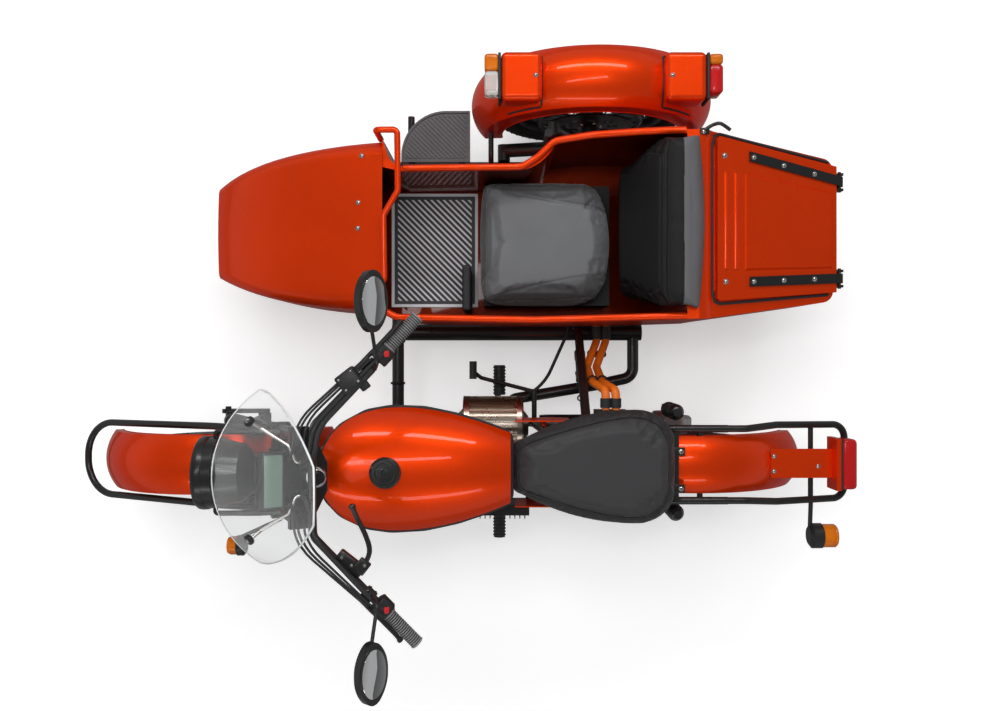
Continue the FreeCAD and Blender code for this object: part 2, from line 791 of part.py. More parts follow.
def make_tank():
    """Tank: a teardrop in plan, crowned on top, its sides rolling under to the base."""
    sections = []
    for x, base_half, half, base, shoulder, top in TANK_SECTIONS:
        rise = top - shoulder
        crown = (half * half + rise * rise) / (2 * rise)
        side = math.hypot(half - base_half, shoulder - base) * 1.4
        sections.append((x, [
            (-base_half, base), (base_half, base, -side), (half, shoulder, -crown),
            (-half, shoulder, -side),
        ]))
    return place(lofted("YZ_Plane", sections), 0, size.bike_y, 0)


keep("tank", make_tank())
keep("tank_cap", place(turned([(0, 0), (46, 0), (46, 6), (38, 12), (0, 14)]),
                       -197, size.bike_y, size.tank_top + size.seat_gap, (1, 0, 0), 90))


def saddle_outline(inset):
    """Pear-shaped plan of the saddle, drawn in evenly: narrow front, broad rounded rear."""
    half = size.saddle_half - inset
    front = size.saddle_front_x + inset
    rear = size.saddle_rear_x - inset * 0.6
    nose_half = 62 - inset * 0.35
    broad = size.saddle_rear_x - 132
    return [
        (front, nose_half, 30), (front + 30, nose_half + 24, 700), (broad, half, 126),
        (rear - 10, half - 62, 70), (rear, half - 110), (rear, 110 - half, 70),
        (rear - 10, 62 - half, 126), (broad, -half, 700), (front + 30, -nose_half - 24, 30),
        (front, -nose_half),
    ]


def make_saddle():
    """Broad single saddle: sides that slope in to a flat-crowned top."""
    thick = size.saddle_top - size.saddle_base
    body = lofted("XY_Plane", [(0, saddle_outline(3)), (18, saddle_outline(0)),
                               (thick, saddle_outline(size.saddle_slope))], ruled=True)
    return place(body, 0, size.bike_y, size.saddle_base)


keep("saddle", make_saddle())


def make_saddle_carrier():
    """Pressed plate under the saddle with feet down to the seat rails."""
    under = size.saddle_base - size.seat_gap
    plate = block(430, 210, 5, 470, size.bike_y, under - 5)
    rail_top = size.seat_rail_z + size.seat_rail_tube / 2 + size.seat_gap
    feet = [block(26, 22, under - rail_top, x, size.bike_y + way * size.seat_rail_half, rail_top)
            for x in (340, 640) for way in (1, -1)]
    return fuse(plate, *feet)


keep("saddle_carrier", make_saddle_carrier())


def make_side_cover():
    """Side panel under the saddle, swept along its lower edge."""
    panel = padded("XZ_Plane", [
        (182, 676), (190, 530, 160), (300, 508), (360, 540, 200), (384, 676),
    ], 4, symmetric=True)
    place(panel, 0, size.bike_y + 134, 0)
    boss_z = 600
    boss_y = size.bike_y + size.cradle_half + size.frame_tube / 2 + size.seat_gap
    boss = tube([(upright_x(boss_z), boss_y, boss_z), (upright_x(boss_z), size.bike_y + 134, boss_z)], 16)
    return fuse(panel, shaped(boss))


right_cover = make_side_cover()
keep("side_covers", together(right_cover, mirrored(right_cover)))


def make_fender(radius, width, crown, skirt, sweep, middle, x, y, z):
    """A fender turned round an axle; its middle stands at an angle above the rear."""
    fender = turned(arch(radius, width, crown, skirt, size.fender_wall), sweep)
    return place(fender, x, y, z, (0, 1, 0), -middle)


keep("rear_fender", make_fender(size.rear_fender_radius, size.rear_fender_width, 34, 26, 118, 83,
                                rear_axle_x + 34, size.bike_y, axle_z - 32))


def make_rear_guard():
    """Hoop round the rear fender's tail with one cross bar."""
    hoop = [(rear_axle_x + 129 + size.seat_gap, size.seat_rail_half, size.seat_rail_z),
            (rear_axle_x + 189, size.seat_rail_half, size.seat_rail_z), (rear_axle_x + 294, 121, 650),
            (rear_axle_x + 530, 118, 590)]
    right, left = both_sides(hoop)
    route = right + [left[-1]] + left[::-1][1:]
    ring = tube(route, size.guard_tube, 42)
    bar = tube([(rear_axle_x + 414, size.bike_y - 118, 613), (rear_axle_x + 414, size.bike_y + 118, 613)], 16)
    return welded(ring, bar)


keep("rear_guard", make_rear_guard())


def make_tail_lamp_bracket():
    """Painted tongue off the fender's tail, with the upright plate behind it."""
    tongue = block(196, 92, 4, rear_axle_x + 372, size.bike_y, 654.5)
    plate = block(14, 163, 86, rear_axle_x + 474, size.bike_y, 612)
    return fuse(tongue, plate)


keep("tail_lamp_bracket", make_tail_lamp_bracket())
keep("tail_lamp", rounded(block(54, 163, 82, rear_axle_x + 508.3, size.bike_y, 614), 9))


def make_rear_indicator():
    """Left turn lamp on a stalk from the rear hoop."""
    stalk = tube([(rear_axle_x + 414, size.bike_y - 131.2, 616),
                  (rear_axle_x + 414, size.bike_y - 206, 608)], 14)
    lamp = cylinder(40, 90, rear_axle_x + 410, size.bike_y - 238, 606, (0, 1, 0), 90)
    return fuse(shaped(stalk), lamp)


keep("rear_indicator", make_rear_indicator())


def make_foot_controls():
    """Two footpegs on a cross bar, the brake pedal and its cross shaft."""
    bar_z = size.cradle_z + size.frame_tube / 2 + 11 + size.seat_gap
    bar = tube([(128, size.bike_y - 300, bar_z), (128, size.bike_y + 300, bar_z)], 22)
    pegs = [tube([(134, size.bike_y + way * 200, bar_z), (134, size.bike_y + way * 306, bar_z)], 40)
            for way in (1, -1)]
    shaft_x = upright_x(318)
    lever = tube([(42, size.bike_y + 284, 345), (70, size.bike_y + 262, 340),
                  (shaft_x - 4, size.bike_y + 214, 318)], 14, 20)
    pedal = tube([(42, size.bike_y + 258, 347), (42, size.bike_y + 320, 347)], 26)
    shaft = tube([(shaft_x, size.bike_y + 222, 318),
                  (shaft_x, size.bike_y + size.cradle_half + size.frame_tube / 2 + size.seat_gap, 318)], 18)
    return together(welded(bar, *pegs), welded(lever, pedal, shaft))


keep("foot_controls", make_foot_controls())


# ---------------------------------------------------------------- steering
def make_yoke(level, front):
    """Fork yoke: a plate over both legs and the stem, at a level along the stem."""
    ahead = size.leg_ahead
    reach = size.leg_spread + size.leg_dia / 2 + 5
    return padded("XY_Plane", [
        (34, -40), (-ahead + 26, -reach), (-ahead - 26, -reach), (-ahead - 26, -66), (-front, -66),
        (-front, 66), (-ahead - 26, 66), (-ahead - 26, reach), (-ahead + 26, reach), (34, 40),
    ], size.yoke_wall, offset=level)


def make_fork():
    """Fork: two yokes, the stem and its nut, and legs cranked back to the link pivots."""
    low_yoke = head_low - size.seat_gap - size.yoke_wall
    high_yoke = -size.head_top + size.seat_gap
    stem = cylinder(size.stem_radius, size.head_length + 80, 0, 0, head_low - 20)
    nut = cylinder(20, 22, 0, 0, high_yoke + size.yoke_wall - 2)
    legs = []
    for way in (1, -1):
        y = way * size.leg_spread
        legs.append(tube([(-size.leg_ahead, y, -8), (-size.leg_ahead, y, -540), (36, y, -753)],
                         size.leg_dia, 120))
        legs.append(tube([(36, y - way * 18, -753), (36, y + way * 20.7, -753)], 44))
        legs.append(tube([(-size.leg_ahead, y, -338), (-90, y, -338)], 24))
        legs.append(tube([(-size.leg_ahead, y, -160), (-227, y, -257), (-227, way * 103.4, -257)], 16, 7))
        legs.append(tube([(-size.leg_ahead, y, -420),
                          (-size.leg_ahead, way * (size.front_fender_width / 2 + size.seat_gap), -420)], 18))
    return raked(fuse(make_yoke(high_yoke, 165), make_yoke(low_yoke, 78), stem, nut,
                      shaped(legs[0].multiFuse(legs[1:]))))


keep("fork", make_fork())


def make_front_links():
    """Leading links with the front axle and the two sprung dampers above them."""
    pivot = on_stem(36, 0, -753)
    run_x = float(pivot[0]) - float(size.front_axle_x)
    run_z = float(pivot[2]) - float(axle_z)
    reach = math.hypot(run_x, run_z)
    turn = -math.degrees(math.atan2(run_z, run_x))
    plates = []
    for way in (1, -1):
        plate = padded("XZ_Plane", [
            (0, 26), (reach, 22, 22.5), (reach, -22), (0, -26, 26.5),
        ], 14, symmetric=True)
        plates.append(place(plate, size.front_axle_x, size.bike_y + way * (size.leg_spread + 28), axle_z,
                            (0, 1, 0), turn))
    span = size.leg_spread + 44
    axle = cross_bar(size.axle_radius, span * 2, size.front_axle_x, size.bike_y, axle_z)
    dampers = []
    for way in (1, -1):
        y = way * size.leg_spread
        spring = tube([(-90, y, -716), (-90, y, -350.3)], 48)
        eye = tube([(-90, y - way * 16, -728), (-90, y + way * 30, -728)], 28)
        dampers.append(spring.fuse(eye))
    springs = raked(shaped(dampers[0].multiFuse(dampers[1:])))
    caliper = make_caliper(1, 155, size.front_axle_x, size.bike_y)
    return fuse(*plates, axle, springs, caliper)


keep("front_links", make_front_links())
keep("front_fender", make_fender(size.front_fender_radius, size.front_fender_width, 30, 24, 160, 80,
                                 size.front_axle_x, size.bike_y, axle_z))


def make_front_guard():
    """Hoop round the front fender, carried by the fork legs."""
    start_x, _, start_z = on_stem(-size.leg_ahead - size.leg_dia / 2 - 9, 0, -262)
    hoop = [(start_x, 118, start_z), (-760, 121, 700), (-1246, 118, 470)]
    right, left = both_sides(hoop)
    route = right + [left[-1]] + left[::-1][1:]
    return shaped(tube(route, size.guard_tube, 112))


keep("front_guard", make_front_guard())

BAR_ROUTE = [
    # along the stem's frame: behind the axis, from the centre plane, up the stem
    (-24, 0, 26),
    (-24, 70, 26),
    (-30, 150, 54),
    (123, 328, 133),
    (226, 444, 165),
]


GRIP_LENGTH = 116


def bar_line(way):
    """The bar's route on one side."""
    return [(x, way * y, z) for x, y, z in BAR_ROUTE]


def make_handlebar():
    """Pulled-back handlebar on two risers, with a rubber grip at each end."""
    right = BAR_ROUTE
    left = [(x, -y, z) for x, y, z in BAR_ROUTE[:0:-1]]
    bar = tube(left + right[1:], size.bar_tube, 34)
    shapes = [bar]
    for way in (1, -1):
        start = Vector(*BAR_ROUTE[3])
        tip = Vector(*BAR_ROUTE[4])
        start.y *= way
        tip.y *= way
        along = (tip - start).normalize()
        shapes.append(tube([tuple(tip - along * GRIP_LENGTH), tuple(tip + along * 4)], size.grip_dia))
        shapes.append(tube([(-24, way * 46, float(-size.head_top + size.yoke_wall + 1)),
                            (-24, way * 46, 26)], 30))
    return raked(shaped(shapes[0].multiFuse(shapes[1:])))


keep("handlebar", make_handlebar())


def bar_end(way):
    """The bar's last corner, its tip and the directions of its last two runs, on one side."""
    before, start, tip = (Vector(*point) for point in bar_line(way)[2:])
    return start, tip, (start - before).normalize(), (tip - start).normalize()


def make_hand_controls():
    """Switch boxes, perches and levers beside the grips."""
    pieces = []
    for way in (1, -1):
        start, tip, slope, along = bar_end(way)
        box = tube([tuple(tip - along * (GRIP_LENGTH + 38)), tuple(tip - along * (GRIP_LENGTH + 0.4))], 46)
        perch = tube([tuple(start - slope * 46), tuple(start - slope * 14)], 34)
        foot = start - slope * 30
        root = foot + Vector(-36, 0, 4)
        lever = tube([tuple(foot), tuple(root), tuple(root + along * 168)], 10, 8)
        bore = tube(bar_line(way)[1:], size.bar_tube + 2 * size.seat_gap, 34)
        pieces.append(raked(shaped(box.multiFuse([perch, lever]).cut(bore))))
    return together(*pieces)


keep("hand_controls", make_hand_controls())


def make_mirrors():
    """Oval mirrors on bent stems that stand on the lever perches."""
    pieces = []
    for way in (1, -1):
        start, _, slope, _ = bar_end(way)
        foot = start - slope * 30 + Vector(0, 0, 19.6)
        stem = tube([tuple(foot), (foot.x - 6, foot.y + way * 8, foot.z + 60), (66, way * 430, 238)], 10, 20)
        head = padded("XY_Plane", [
            (-49, 0, 96), (-20, 73, 30), (20, 73, 96), (49, 0, 96), (20, -73, 30), (-20, -73, 96),
        ], 22, symmetric=True)
        place(head, 68, way * 480.4, 240, (0, 1, 0), 22)
        pieces.append(raked(fuse(shaped(stem), head)))
    return together(*pieces)


keep("mirrors", make_mirrors())


def make_headlamp():
    """Round headlamp: rim, glass face and a bowl behind."""
    bowl = turned([(0, 0), (0, 96), (8, 103), (48, 103), (54, 98), (120, 84), (160, 46), (165, 0)],
                  axis="H_Axis")
    return place(bowl, -725, size.bike_y, 880)


keep("headlamp", make_headlamp())


def make_instrument_panel():
    """Display pod on the upper yoke's front."""
    level = -size.head_top + size.yoke_wall + 2 * size.seat_gap
    pod = padded("XY_Plane", [(-158, -78), (-158, 78), (-92, 78), (-92, -78)], 34, offset=level)
    return raked(pod)


keep("instrument_panel", make_instrument_panel())


SCREEN_BEND = 320
SCREEN_WALL = 4
SCREEN_LEAN = 45
SCREEN_AXIS_X = -438
SCREEN_AXIS_Z = 772


def make_windscreen():
    """Clear screen: part of a round shell leaning back, trimmed to a shield in plan."""
    shell = cut(cylinder(SCREEN_BEND, 800), cylinder(SCREEN_BEND - SCREEN_WALL, 800))
    place(shell, SCREEN_AXIS_X - 150, size.bike_y, SCREEN_AXIS_Z - 150, (0, 1, 0), SCREEN_LEAN)
    trim = padded("XY_Plane", [
        (-545, -245, 302), (-545, 245), (-495, 232, 420), (-312, 70), (-312, -70, 420), (-495, -232),
    ], 700)
    place(trim, 0, size.bike_y, 700)
    return common(shell, trim)


keep("windscreen", make_windscreen())


def on_screen(y, rise):
    """A point on the screen's inner face and the face's outward normal there."""
    radius = SCREEN_BEND - SCREEN_WALL
    depth = math.sqrt(radius * radius - y * y)
    lean = math.radians(SCREEN_LEAN)
    ahead = Vector(-math.cos(lean), 0, math.sin(lean))
    upward = Vector(math.sin(lean), 0, math.cos(lean))
    point = Vector(SCREEN_AXIS_X, 0, SCREEN_AXIS_Z) + upward * rise + ahead * depth + Vector(0, y, 0)
    return point, (ahead * depth + Vector(0, y, 0)).normalize()


def make_windscreen_stays():
    """Two rods from the bar's risers out to the screen."""
    rods = []
    for way in (1, -1):
        face, normal = on_screen(way * 160, 124)
        centre = Vector(0, float(size.bike_y), 0)
        end = face - normal * 0.6 + centre
        route = [on_stem(-39.7, way * 46, 4), on_stem(-62, way * 46, 4), on_stem(-80, way * 92, 0),
                 tuple(end - normal * 40), tuple(end)]
        rods.append(shaped(tube(route, 10, 14)))
    return together(*rods)


keep("windscreen_stays", make_windscreen_stays())


def make_front_indicator():
    """Left turn lamp on a stalk from the fork leg."""
    stalk = tube([(-507, size.bike_y - 141.4, 846), (-640, size.bike_y - 196, 850)], 12)
    lamp = cylinder(30, 56, -664, size.bike_y - 218, 850, (0, 1, 0), 90)
    return fuse(shaped(stalk), lamp)


keep("front_indicator", make_front_indicator())


# ---------------------------------------------------------------- sidecar chassis
def make_sidecar_frame():
    """Perimeter frame, the arms clamped to the motorcycle's cradle, and step brackets."""
    z = size.cradle_z
    main = size.rail_tube
    inner = size.inner_rail_y
    outer = size.outer_rail_y
    cradle_y = size.bike_y + size.cradle_half
    shapes = [
        tube([(-250, inner, z), (642, inner, z)], main),
        tube([(-250, outer, z), (642, outer, z)], 48),
        tube([(-230, inner, z), (-230, outer, z)], 42),
        tube([(450, inner, z), (450, outer, z)], 48),
        tube([(622, inner, z), (622, outer, z)], 42),
        tube([(-230, inner, z), (-230, cradle_y, z)], 42),
        tube([(613, inner, z), (613, -108, z), (486, -136, z), (165, -190, z),
              (165, cradle_y, z)], 40, 40),
        tube([(-250, cradle_y, z), (-210, cradle_y, z)], 56),
        tube([(149, cradle_y, z), (181, cradle_y, z)], 56),
    ]
    for x in (-180, 0):
        shapes.append(tube([(x, outer, z + 24), (x, 820, z + 24)], 24))
    for x, y in ((-230, 160), (-230, 480), (622, 160), (622, 560)):
        shapes.append(tube([(x, y, z), (x, y, size.tub_floor_z - size.seat_gap)], 44))
    frame = welded(*shapes)
    clamp_bore = cylinder(size.frame_tube / 2 + size.seat_gap, 700, -400, cradle_y, z, (0, 1, 0), 90)
    return cut(frame, clamp_bore)


keep("sidecar_frame", make_sidecar_frame())


def make_sidecar_struts():
    """Adjustable upper strut to the motorcycle, and two stays for the sidecar's fender."""
    rail_y = size.bike_y + size.seat_rail_half
    rail_z = size.seat_rail_z
    low_z = size.cradle_z + size.rail_tube / 2 + size.seat_gap
    strut = tube([(411, size.inner_rail_y, low_z), (411, size.inner_rail_y, low_z + 50),
                  (406, rail_y + 24, rail_z - 14)], 30, 24)
    collar = tube([(386, rail_y, rail_z), (426, rail_y, rail_z)], 44)
    bore = tube([(300, rail_y, rail_z), (500, rail_y, rail_z)], size.seat_rail_tube + 2 * size.seat_gap)
    outer = size.outer_rail_y
    skirt_y = side_wheel_y - size.side_fender_width / 2 - size.seat_gap
    front_x = side_axle_x - 345
    rear_x = side_axle_x + 345
    front = tube([(front_x, outer, size.cradle_z + 24.4), (front_x, outer, 385), (front_x, skirt_y, 385)],
                 18, 30)
    rear = tube([(643.4, outer, size.cradle_z), (side_axle_x + 300, outer, size.cradle_z), (rear_x, 700, 310),
                 (rear_x, 700, 385), (rear_x, skirt_y, 385)], 18, 16)
    return together(shaped(strut.fuse(collar).cut(bore)), shaped(front), shaped(rear))


keep("sidecar_struts", make_sidecar_struts())


def make_sidecar_swing_arm():
    """Sidecar wheel's trailing arm, stub axle, damper and its post."""
    outer = size.outer_rail_y
    arm_y = outer + 62
    post = tube([(291, outer + 26, size.cradle_z + 20), (291, outer + 36, 640)], 26)
    pivot = tube([(150, outer + 24.3, size.cradle_z + 10), (150, arm_y + 20, size.cradle_z + 10)], 44)
    arm = tube([(150, arm_y, size.cradle_z + 10), (side_axle_x, arm_y, axle_z)], 48)
    boss = tube([(side_axle_x, arm_y - 22, axle_z), (side_axle_x, side_wheel_y - 72, axle_z)], 60)
    axle = tube([(side_axle_x, arm_y, axle_z), (side_axle_x, side_wheel_y + 62, axle_z)],
                size.axle_radius * 2)
    damper = tube([(412, arm_y + 8, 360), (306, arm_y - 10, 620)], 44)
    head = tube([(302, outer + 30, 628), (302, arm_y + 10, 628)], 24)
    return welded(post, pivot, arm, boss, axle, damper, head)


keep("sidecar_swing_arm", make_sidecar_swing_arm())

# ---------------------------------------------------------------- sidecar body
NOSE_X = -817
COWL_X = -230
TAIL_X = 1186
BULKHEAD_X = 700


def slanted_ribs(length, width, spacing, rise):
    """Parallel ribs at 45 degrees that fill a length by a width, for trimming to an outline."""
    run = length + width
    count = int(run / spacing)
    ribs = [block(6, 1.42 * width, rise, 0, 0, 0) for _ in range(count)]
    for number, rib in enumerate(ribs):
        middle = (number + 0.5) * spacing - run / 2
        rib.Placement = Placement(Vector(middle, 0, 0), Rotation(Vector(0, 0, 1), 45)).multiply(rib.Placement)
    return together(*ribs)


RIM_LINE = [
    # x, top of the cockpit's walls
    (COWL_X - 1, 689),
    (240, 695),
    (420, 722),
    (560, 766),
    (640, 783),
    (735, 790),
]
NOSE_SECTIONS = [
    # x, inner side, outer side, underside, top, corner radius
    (NOSE_X, 231, 535, 368, 450, 24),
    (-690, 178, 588, 322, 545, 44),
    (-520, 136, 624, 294, 622, 54),
    (-360, 116, 640, 294, 672, 58),
    (COWL_X, 107, 645, 294, 704, 60),
]


def nose_section(inner, outer, low, top, corner, inset):
    """Section across the nose: flat sides, round top corners and a gentle crown."""
    left = inner + inset
    right = outer - inset
    bend = corner - inset
    high = top - inset
    rise = 8
    reach = (right - left) / 2 - bend
    crown = (reach * reach + rise * rise) / (2 * rise)
    return [
        (left, low + inset), (left, high - rise - bend, bend), (left + bend, high - rise, crown),
        (right - bend, high - rise, bend), (right, high - rise - bend), (right, low + inset),
    ]


def make_nose(inset, front, rear):
    """The nose as a loft, drawn in by a wall and started and ended at two planes."""
    places = [front] + [row[0] for row in NOSE_SECTIONS[1:-1]] + [rear]
    sections = [(x, nose_section(*row[1:], inset)) for x, row in zip(places, NOSE_SECTIONS)]
    return lofted("YZ_Plane", sections)


def make_sidecar_tub():
    """Sidecar body: a closed nose, an open cockpit, a bulkhead and a trunk under a lid."""
    w = float(size.tub_wall)
    floor = float(size.tub_floor_z)
    middle = [
        (COWL_X - 1, 107), (COWL_X + 40, 82, -12000), (777, 82), (777, 650), (420, 652), (300, 640, 150),
        (205, 560), (COWL_X + 60, 556, 60), (COWL_X + 14, 600), (COWL_X - 1, 645),
    ]
    inner_middle = [
        (COWL_X - 20, 107 + w), (COWL_X + 40, 82 + w, -12000), (BULKHEAD_X, 82 + w), (BULKHEAD_X, 650 - w),
        (420, 652 - w), (310, 640 - w, 150), (215, 560 - w), (COWL_X + 52, 556 - w), (COWL_X - 20, 574 - w),
    ]
    body_plan = padded("XY_Plane", middle, 900)
    tail_plan = padded("XY_Plane", [(770, 650), (TAIL_X - 30, 588, 40), (TAIL_X, 556), (TAIL_X, 163, 40),
                                    (TAIL_X - 30, 136), (770, 82)], 900)
    side = padded("XZ_Plane", [
        (COWL_X - 1, floor), *RIM_LINE[:-1], (735, 790, 60),
        (777, 770), (TAIL_X, 655), (TAIL_X, 392, 90), (1110, floor),
    ], 2000, symmetric=True)
    outer = fuse(common(fuse(body_plan, tail_plan), side), make_nose(0, NOSE_X, COWL_X))
    cockpit_side = padded("XZ_Plane", [
        (COWL_X - 20, floor + w), (COWL_X - 20, 692), (COWL_X, 692), (COWL_X, 1100), (BULKHEAD_X + 5, 1100),
        (BULKHEAD_X + 5, floor + w),
    ], 2000, symmetric=True)
    cockpit = common(padded("XY_Plane", inner_middle, 1200), cockpit_side)
    trunk_plan = padded("XY_Plane", [
        (BULKHEAD_X + w, 650 - w), (777, 650 - w), (TAIL_X - w, 565 - w), (TAIL_X - w, 154 + w),
        (777, 86 + w), (BULKHEAD_X + w, 82 + w),
    ], 1200)
    trunk_side = padded("XZ_Plane", [
        (BULKHEAD_X, 790 - w), (735, 790 - w), (777, 770 - w), (TAIL_X, 655 - w), (TAIL_X, 400),
        (1100, floor + w), (BULKHEAD_X, floor + w),
    ], 2000, symmetric=True)
    trunk = common(trunk_plan, trunk_side)
    mouth = padded("XY_Plane", [(806, 606), (1160, 540), (1160, 188), (806, 158)], 600, offset=500)
    return cut(outer, together(make_nose(w, NOSE_X + w, COWL_X + 2), cockpit, trunk, mouth))


keep("sidecar_tub", make_sidecar_tub())


def rim_route(plan):
    """A line along the top of the cockpit's wall: its plan and the wall's rising top together."""
    def between(table, x):
        for (x0, v0), (x1, v1) in zip(table, table[1:]):
            if x0 <= x <= x1:
                return v0 + (v1 - v0) * (x - x0) / (x1 - x0)
        return table[-1][1]

    stations = sorted({x for x, _ in plan} | {x for x, _ in RIM_LINE if plan[0][0] < x < plan[-1][0]})
    lift = size.rim_roll / 2 * 1.05 + size.seat_gap
    return [(x, between(plan, x), between(RIM_LINE, x) + lift) for x in stations]


def make_cockpit_rim():
    """Rolled edge that runs on top of the cockpit's walls from the cowl round to the seat back."""
    roll = size.rim_roll
    wall = float(size.tub_wall) / 2
    end = BULKHEAD_X - 6
    inner = rim_route([(COWL_X + 4, 103 + wall), (COWL_X + 46, 82 + wall), (240, 74 + wall),
                       (end, 82 + wall)])
    outer = rim_route([(COWL_X + 66, 556 - wall), (205, 560 - wall), (255, 591 - wall), (305, 638 - wall),
                       (420, 652 - wall), (end, 651 - wall)])
    return together(shaped(tube(inner, roll, 50)), shaped(tube(outer, roll, 50)))

keep("cockpit_rim", make_cockpit_rim())


def make_cockpit_rail():
    """Grab rail bowed up over the cowl's rear edge."""
    side_y = 644.6 + 9.5 + size.seat_gap
    route = [(-242, side_y, 640), (-242, side_y, 764), (-176, side_y, 766), (-174, 470, 764),
             (-218, 395, 764), (-216, 200, 756), (-246, 178, 740), (-246, 178, 695.5)]
    return shaped(tube(route, 19, 14))


keep("cockpit_rail", make_cockpit_rail())
floor_top = size.tub_floor_z + size.tub_wall + size.seat_gap


def make_floor_mat():
    """Rubber mat: a tray with a raised border and slanted ribs."""
    length, width = 304, 400
    tray = cut(block(length, width, 8, 0, 0, 0), block(length - 20, width - 20, 5, 0, 0, 3.5))
    field = block(length - 44, width - 44, 8, 0, 0, 0)
    ribs = place(slanted_ribs(length, width, 22, 5), 0, 0, 2)
    return place(together(fuse(tray, common(ribs, field))), -94, 340, floor_top)



keep("floor_mat", make_floor_mat())
keep("knee_pad", rounded(block(27, 150, 250, 26, 190, floor_top + 8 + size.seat_gap), 8))
keep("seat_base", block(420, 400, 170, 292, 336, floor_top))


def make_seat_cushion():
    """Passenger's cushion: square in front, bowed at the rear, sloping in towards its top."""
    def outline(inset):
        front, rear, side = 70 + inset, 482 - inset, 205 - inset
        return [
            (front, side - 34, 34), (front + 34, side), (rear - 60, side, 90), (rear, side - 60, 460),
            (rear, 60 - side, 90), (rear - 60, -side), (front + 34, -side, 34), (front, 34 - side),
        ]
    cushion = lofted("XY_Plane", [(0, outline(6)), (88, outline(0)), (124, outline(22))], ruled=True)
    return place(cushion, 0, 336, floor_top + 170 + size.seat_gap)


keep("seat_cushion", make_seat_cushion())


def make_seat_back():
    """Backrest: leaning front, a rolled top over the bulkhead, wider at the top than the seat."""
    profile = padded("XZ_Plane", [
        (512, 602), (548, 500), (699.7, 500), (699.7, 790.6), (732, 790.6, -34), (734, 846, -60),
        (690, 872, -60), (642, 850, -700),
    ], 640, symmetric=True)
    front = padded("YZ_Plane", [
        (-196, 490), (196, 490), (214, 640), (266, 800, -60), (214, 874), (-214, 874, -60),
        (-266, 800), (-214, 640),
    ], 900)
    return place(common(profile, front), 0, 368, 0)


keep("seat_back", make_seat_back())


def make_step_board():
    """Step outside the body: a plate with a raised edge and slanted ribs, one corner a quarter round."""
    def outline(inset):
        return [(inset - 214, 655 + inset), (30 - inset, 655 + inset), (30 - inset, 836 - inset),
                (-58, 836 - inset, inset - 160), (inset - 214, 680)]
    tray = cut(padded("XY_Plane", outline(0), 10), padded("XY_Plane", outline(7), 6, offset=4))
    ribs = place(slanted_ribs(244, 176, 17, 5), -92, 748, 3)
    board = fuse(tray, common(ribs, padded("XY_Plane", outline(14), 10)))
    return place(together(board), 0, 0, size.cradle_z + 36 + size.seat_gap)


keep("step_board", make_step_board())
keep("sidecar_fender", make_fender(size.side_fender_radius, size.side_fender_width, 44, 60, 196, 90,
                                   side_axle_x, side_wheel_y, axle_z))


def make_lamp_housings():
    """Painted lamp housings riding on the fender's front and rear."""
    clear_of_fender = cross_bar(size.side_fender_radius + size.seat_gap, 400, side_axle_x, side_wheel_y,
                                axle_z)
    housings = [cut(rounded(block(126, 150, 96, x, side_wheel_y - 10, 650), 18), clear_of_fender)
                for x in (side_axle_x - 248, side_axle_x + 258)]
    return together(*housings)


keep("lamp_housings", make_lamp_housings())
keep("marker_lamps", together(*(rounded(block(51, 144, 88, x, side_wheel_y - 10, 654), 14)
                                for x in (side_axle_x - 336.8, side_axle_x + 346.8))))


# ---------------------------------------------------------------- trunk lid
def hinged(piece):
    """Stand a piece on the lid's hinge; its local -X runs up the closed lid."""
    return place(piece, size.lid_hinge_x, 0, size.lid_hinge_z, (0, 1, 0), size.lid_slope)


STRAPS = [
    # y at the front end, y at the hinge
    (574, 514),
    (193, 211),
]


def make_trunk_lid():
    """Pressed lid, hollow underneath, with a raised panel and two ribs across its front."""
    length = size.lid_length
    outline = [(-length, 622, 12), (12 - length, 630), (-16, 561), (-16, 167), (12 - length, 135, 12),
               (-length, 143)]
    lid = padded("XY_Plane", outline, size.lid_wall, offset=-11.2)
    hollow = [(-length + 16, 612), (-32, 545), (-32, 183), (-length + 16, 153)]
    pocket(lid, draw(new_sketch(lid, "XY_Plane", -11.2), hollow), size.lid_wall - 5, reverse=True)
    top = size.lid_wall - 11.2
    rise = size.lid_panel_rise

    def panel(inset):
        return [(-342 + inset, 524 - inset), (-30 - inset, 482 - inset), (-30 - inset, 240 + inset),
                (-342 + inset, 226 + inset)]
    raised = lofted("XY_Plane", [(top - 2, panel(0)), (top + rise, panel(7))], ruled=True)
    ribs = [cut(cross_bar(11, 290, x, 376, top - 6.5), block(40, 300, 30, x, 376, top - 31))
            for x in (-402, -368)]
    return hinged(fuse(lid, raised, *ribs))


keep("trunk_lid", make_trunk_lid())


def make_lid_straps():
    """Long hinge straps over the lid, each ending in an eye round its pin."""
    top = size.lid_wall - 11.2 + size.seat_gap
    straps = []
    for front_y, hinge_y in STRAPS:
        strap = padded("XY_Plane", [
            (-325, front_y + 15), (0, hinge_y + 15), (0, hinge_y - 15), (-325, front_y - 15),
        ], 6, offset=top)
        drop = block(13, 30, 15, -6, hinge_y, 0)
        eye = cross_bar(11, 30, 0, hinge_y, 0)
        bore = cross_bar(5 + size.running_gap, 60, 0, hinge_y, 0)
        straps.append(hinged(cut(fuse(strap, drop, eye), bore)))
    return together(*straps)


keep("lid_straps", make_lid_straps())


def make_lid_hinges():
    """Hinge lugs on the tub's rear wall, each with its pin."""
    hinges = []
    for _, hinge_y in STRAPS:
        x = size.lid_hinge_x
        z = size.lid_hinge_z
        foot = block(5, 70, 60, TAIL_X + 2.8, hinge_y, z - 70)
        root = block(26, 56, 10, x - 2, hinge_y, z - 26)
        ears = [block(20, 8, 26, x + 1, hinge_y + way * 24, z - 20) for way in (1, -1)]
        pin = cross_bar(5, 64, x, hinge_y, z)
        hinges.append(fuse(foot, root, *ears, pin))
    return together(*hinges)


keep("lid_hinges", make_lid_hinges())


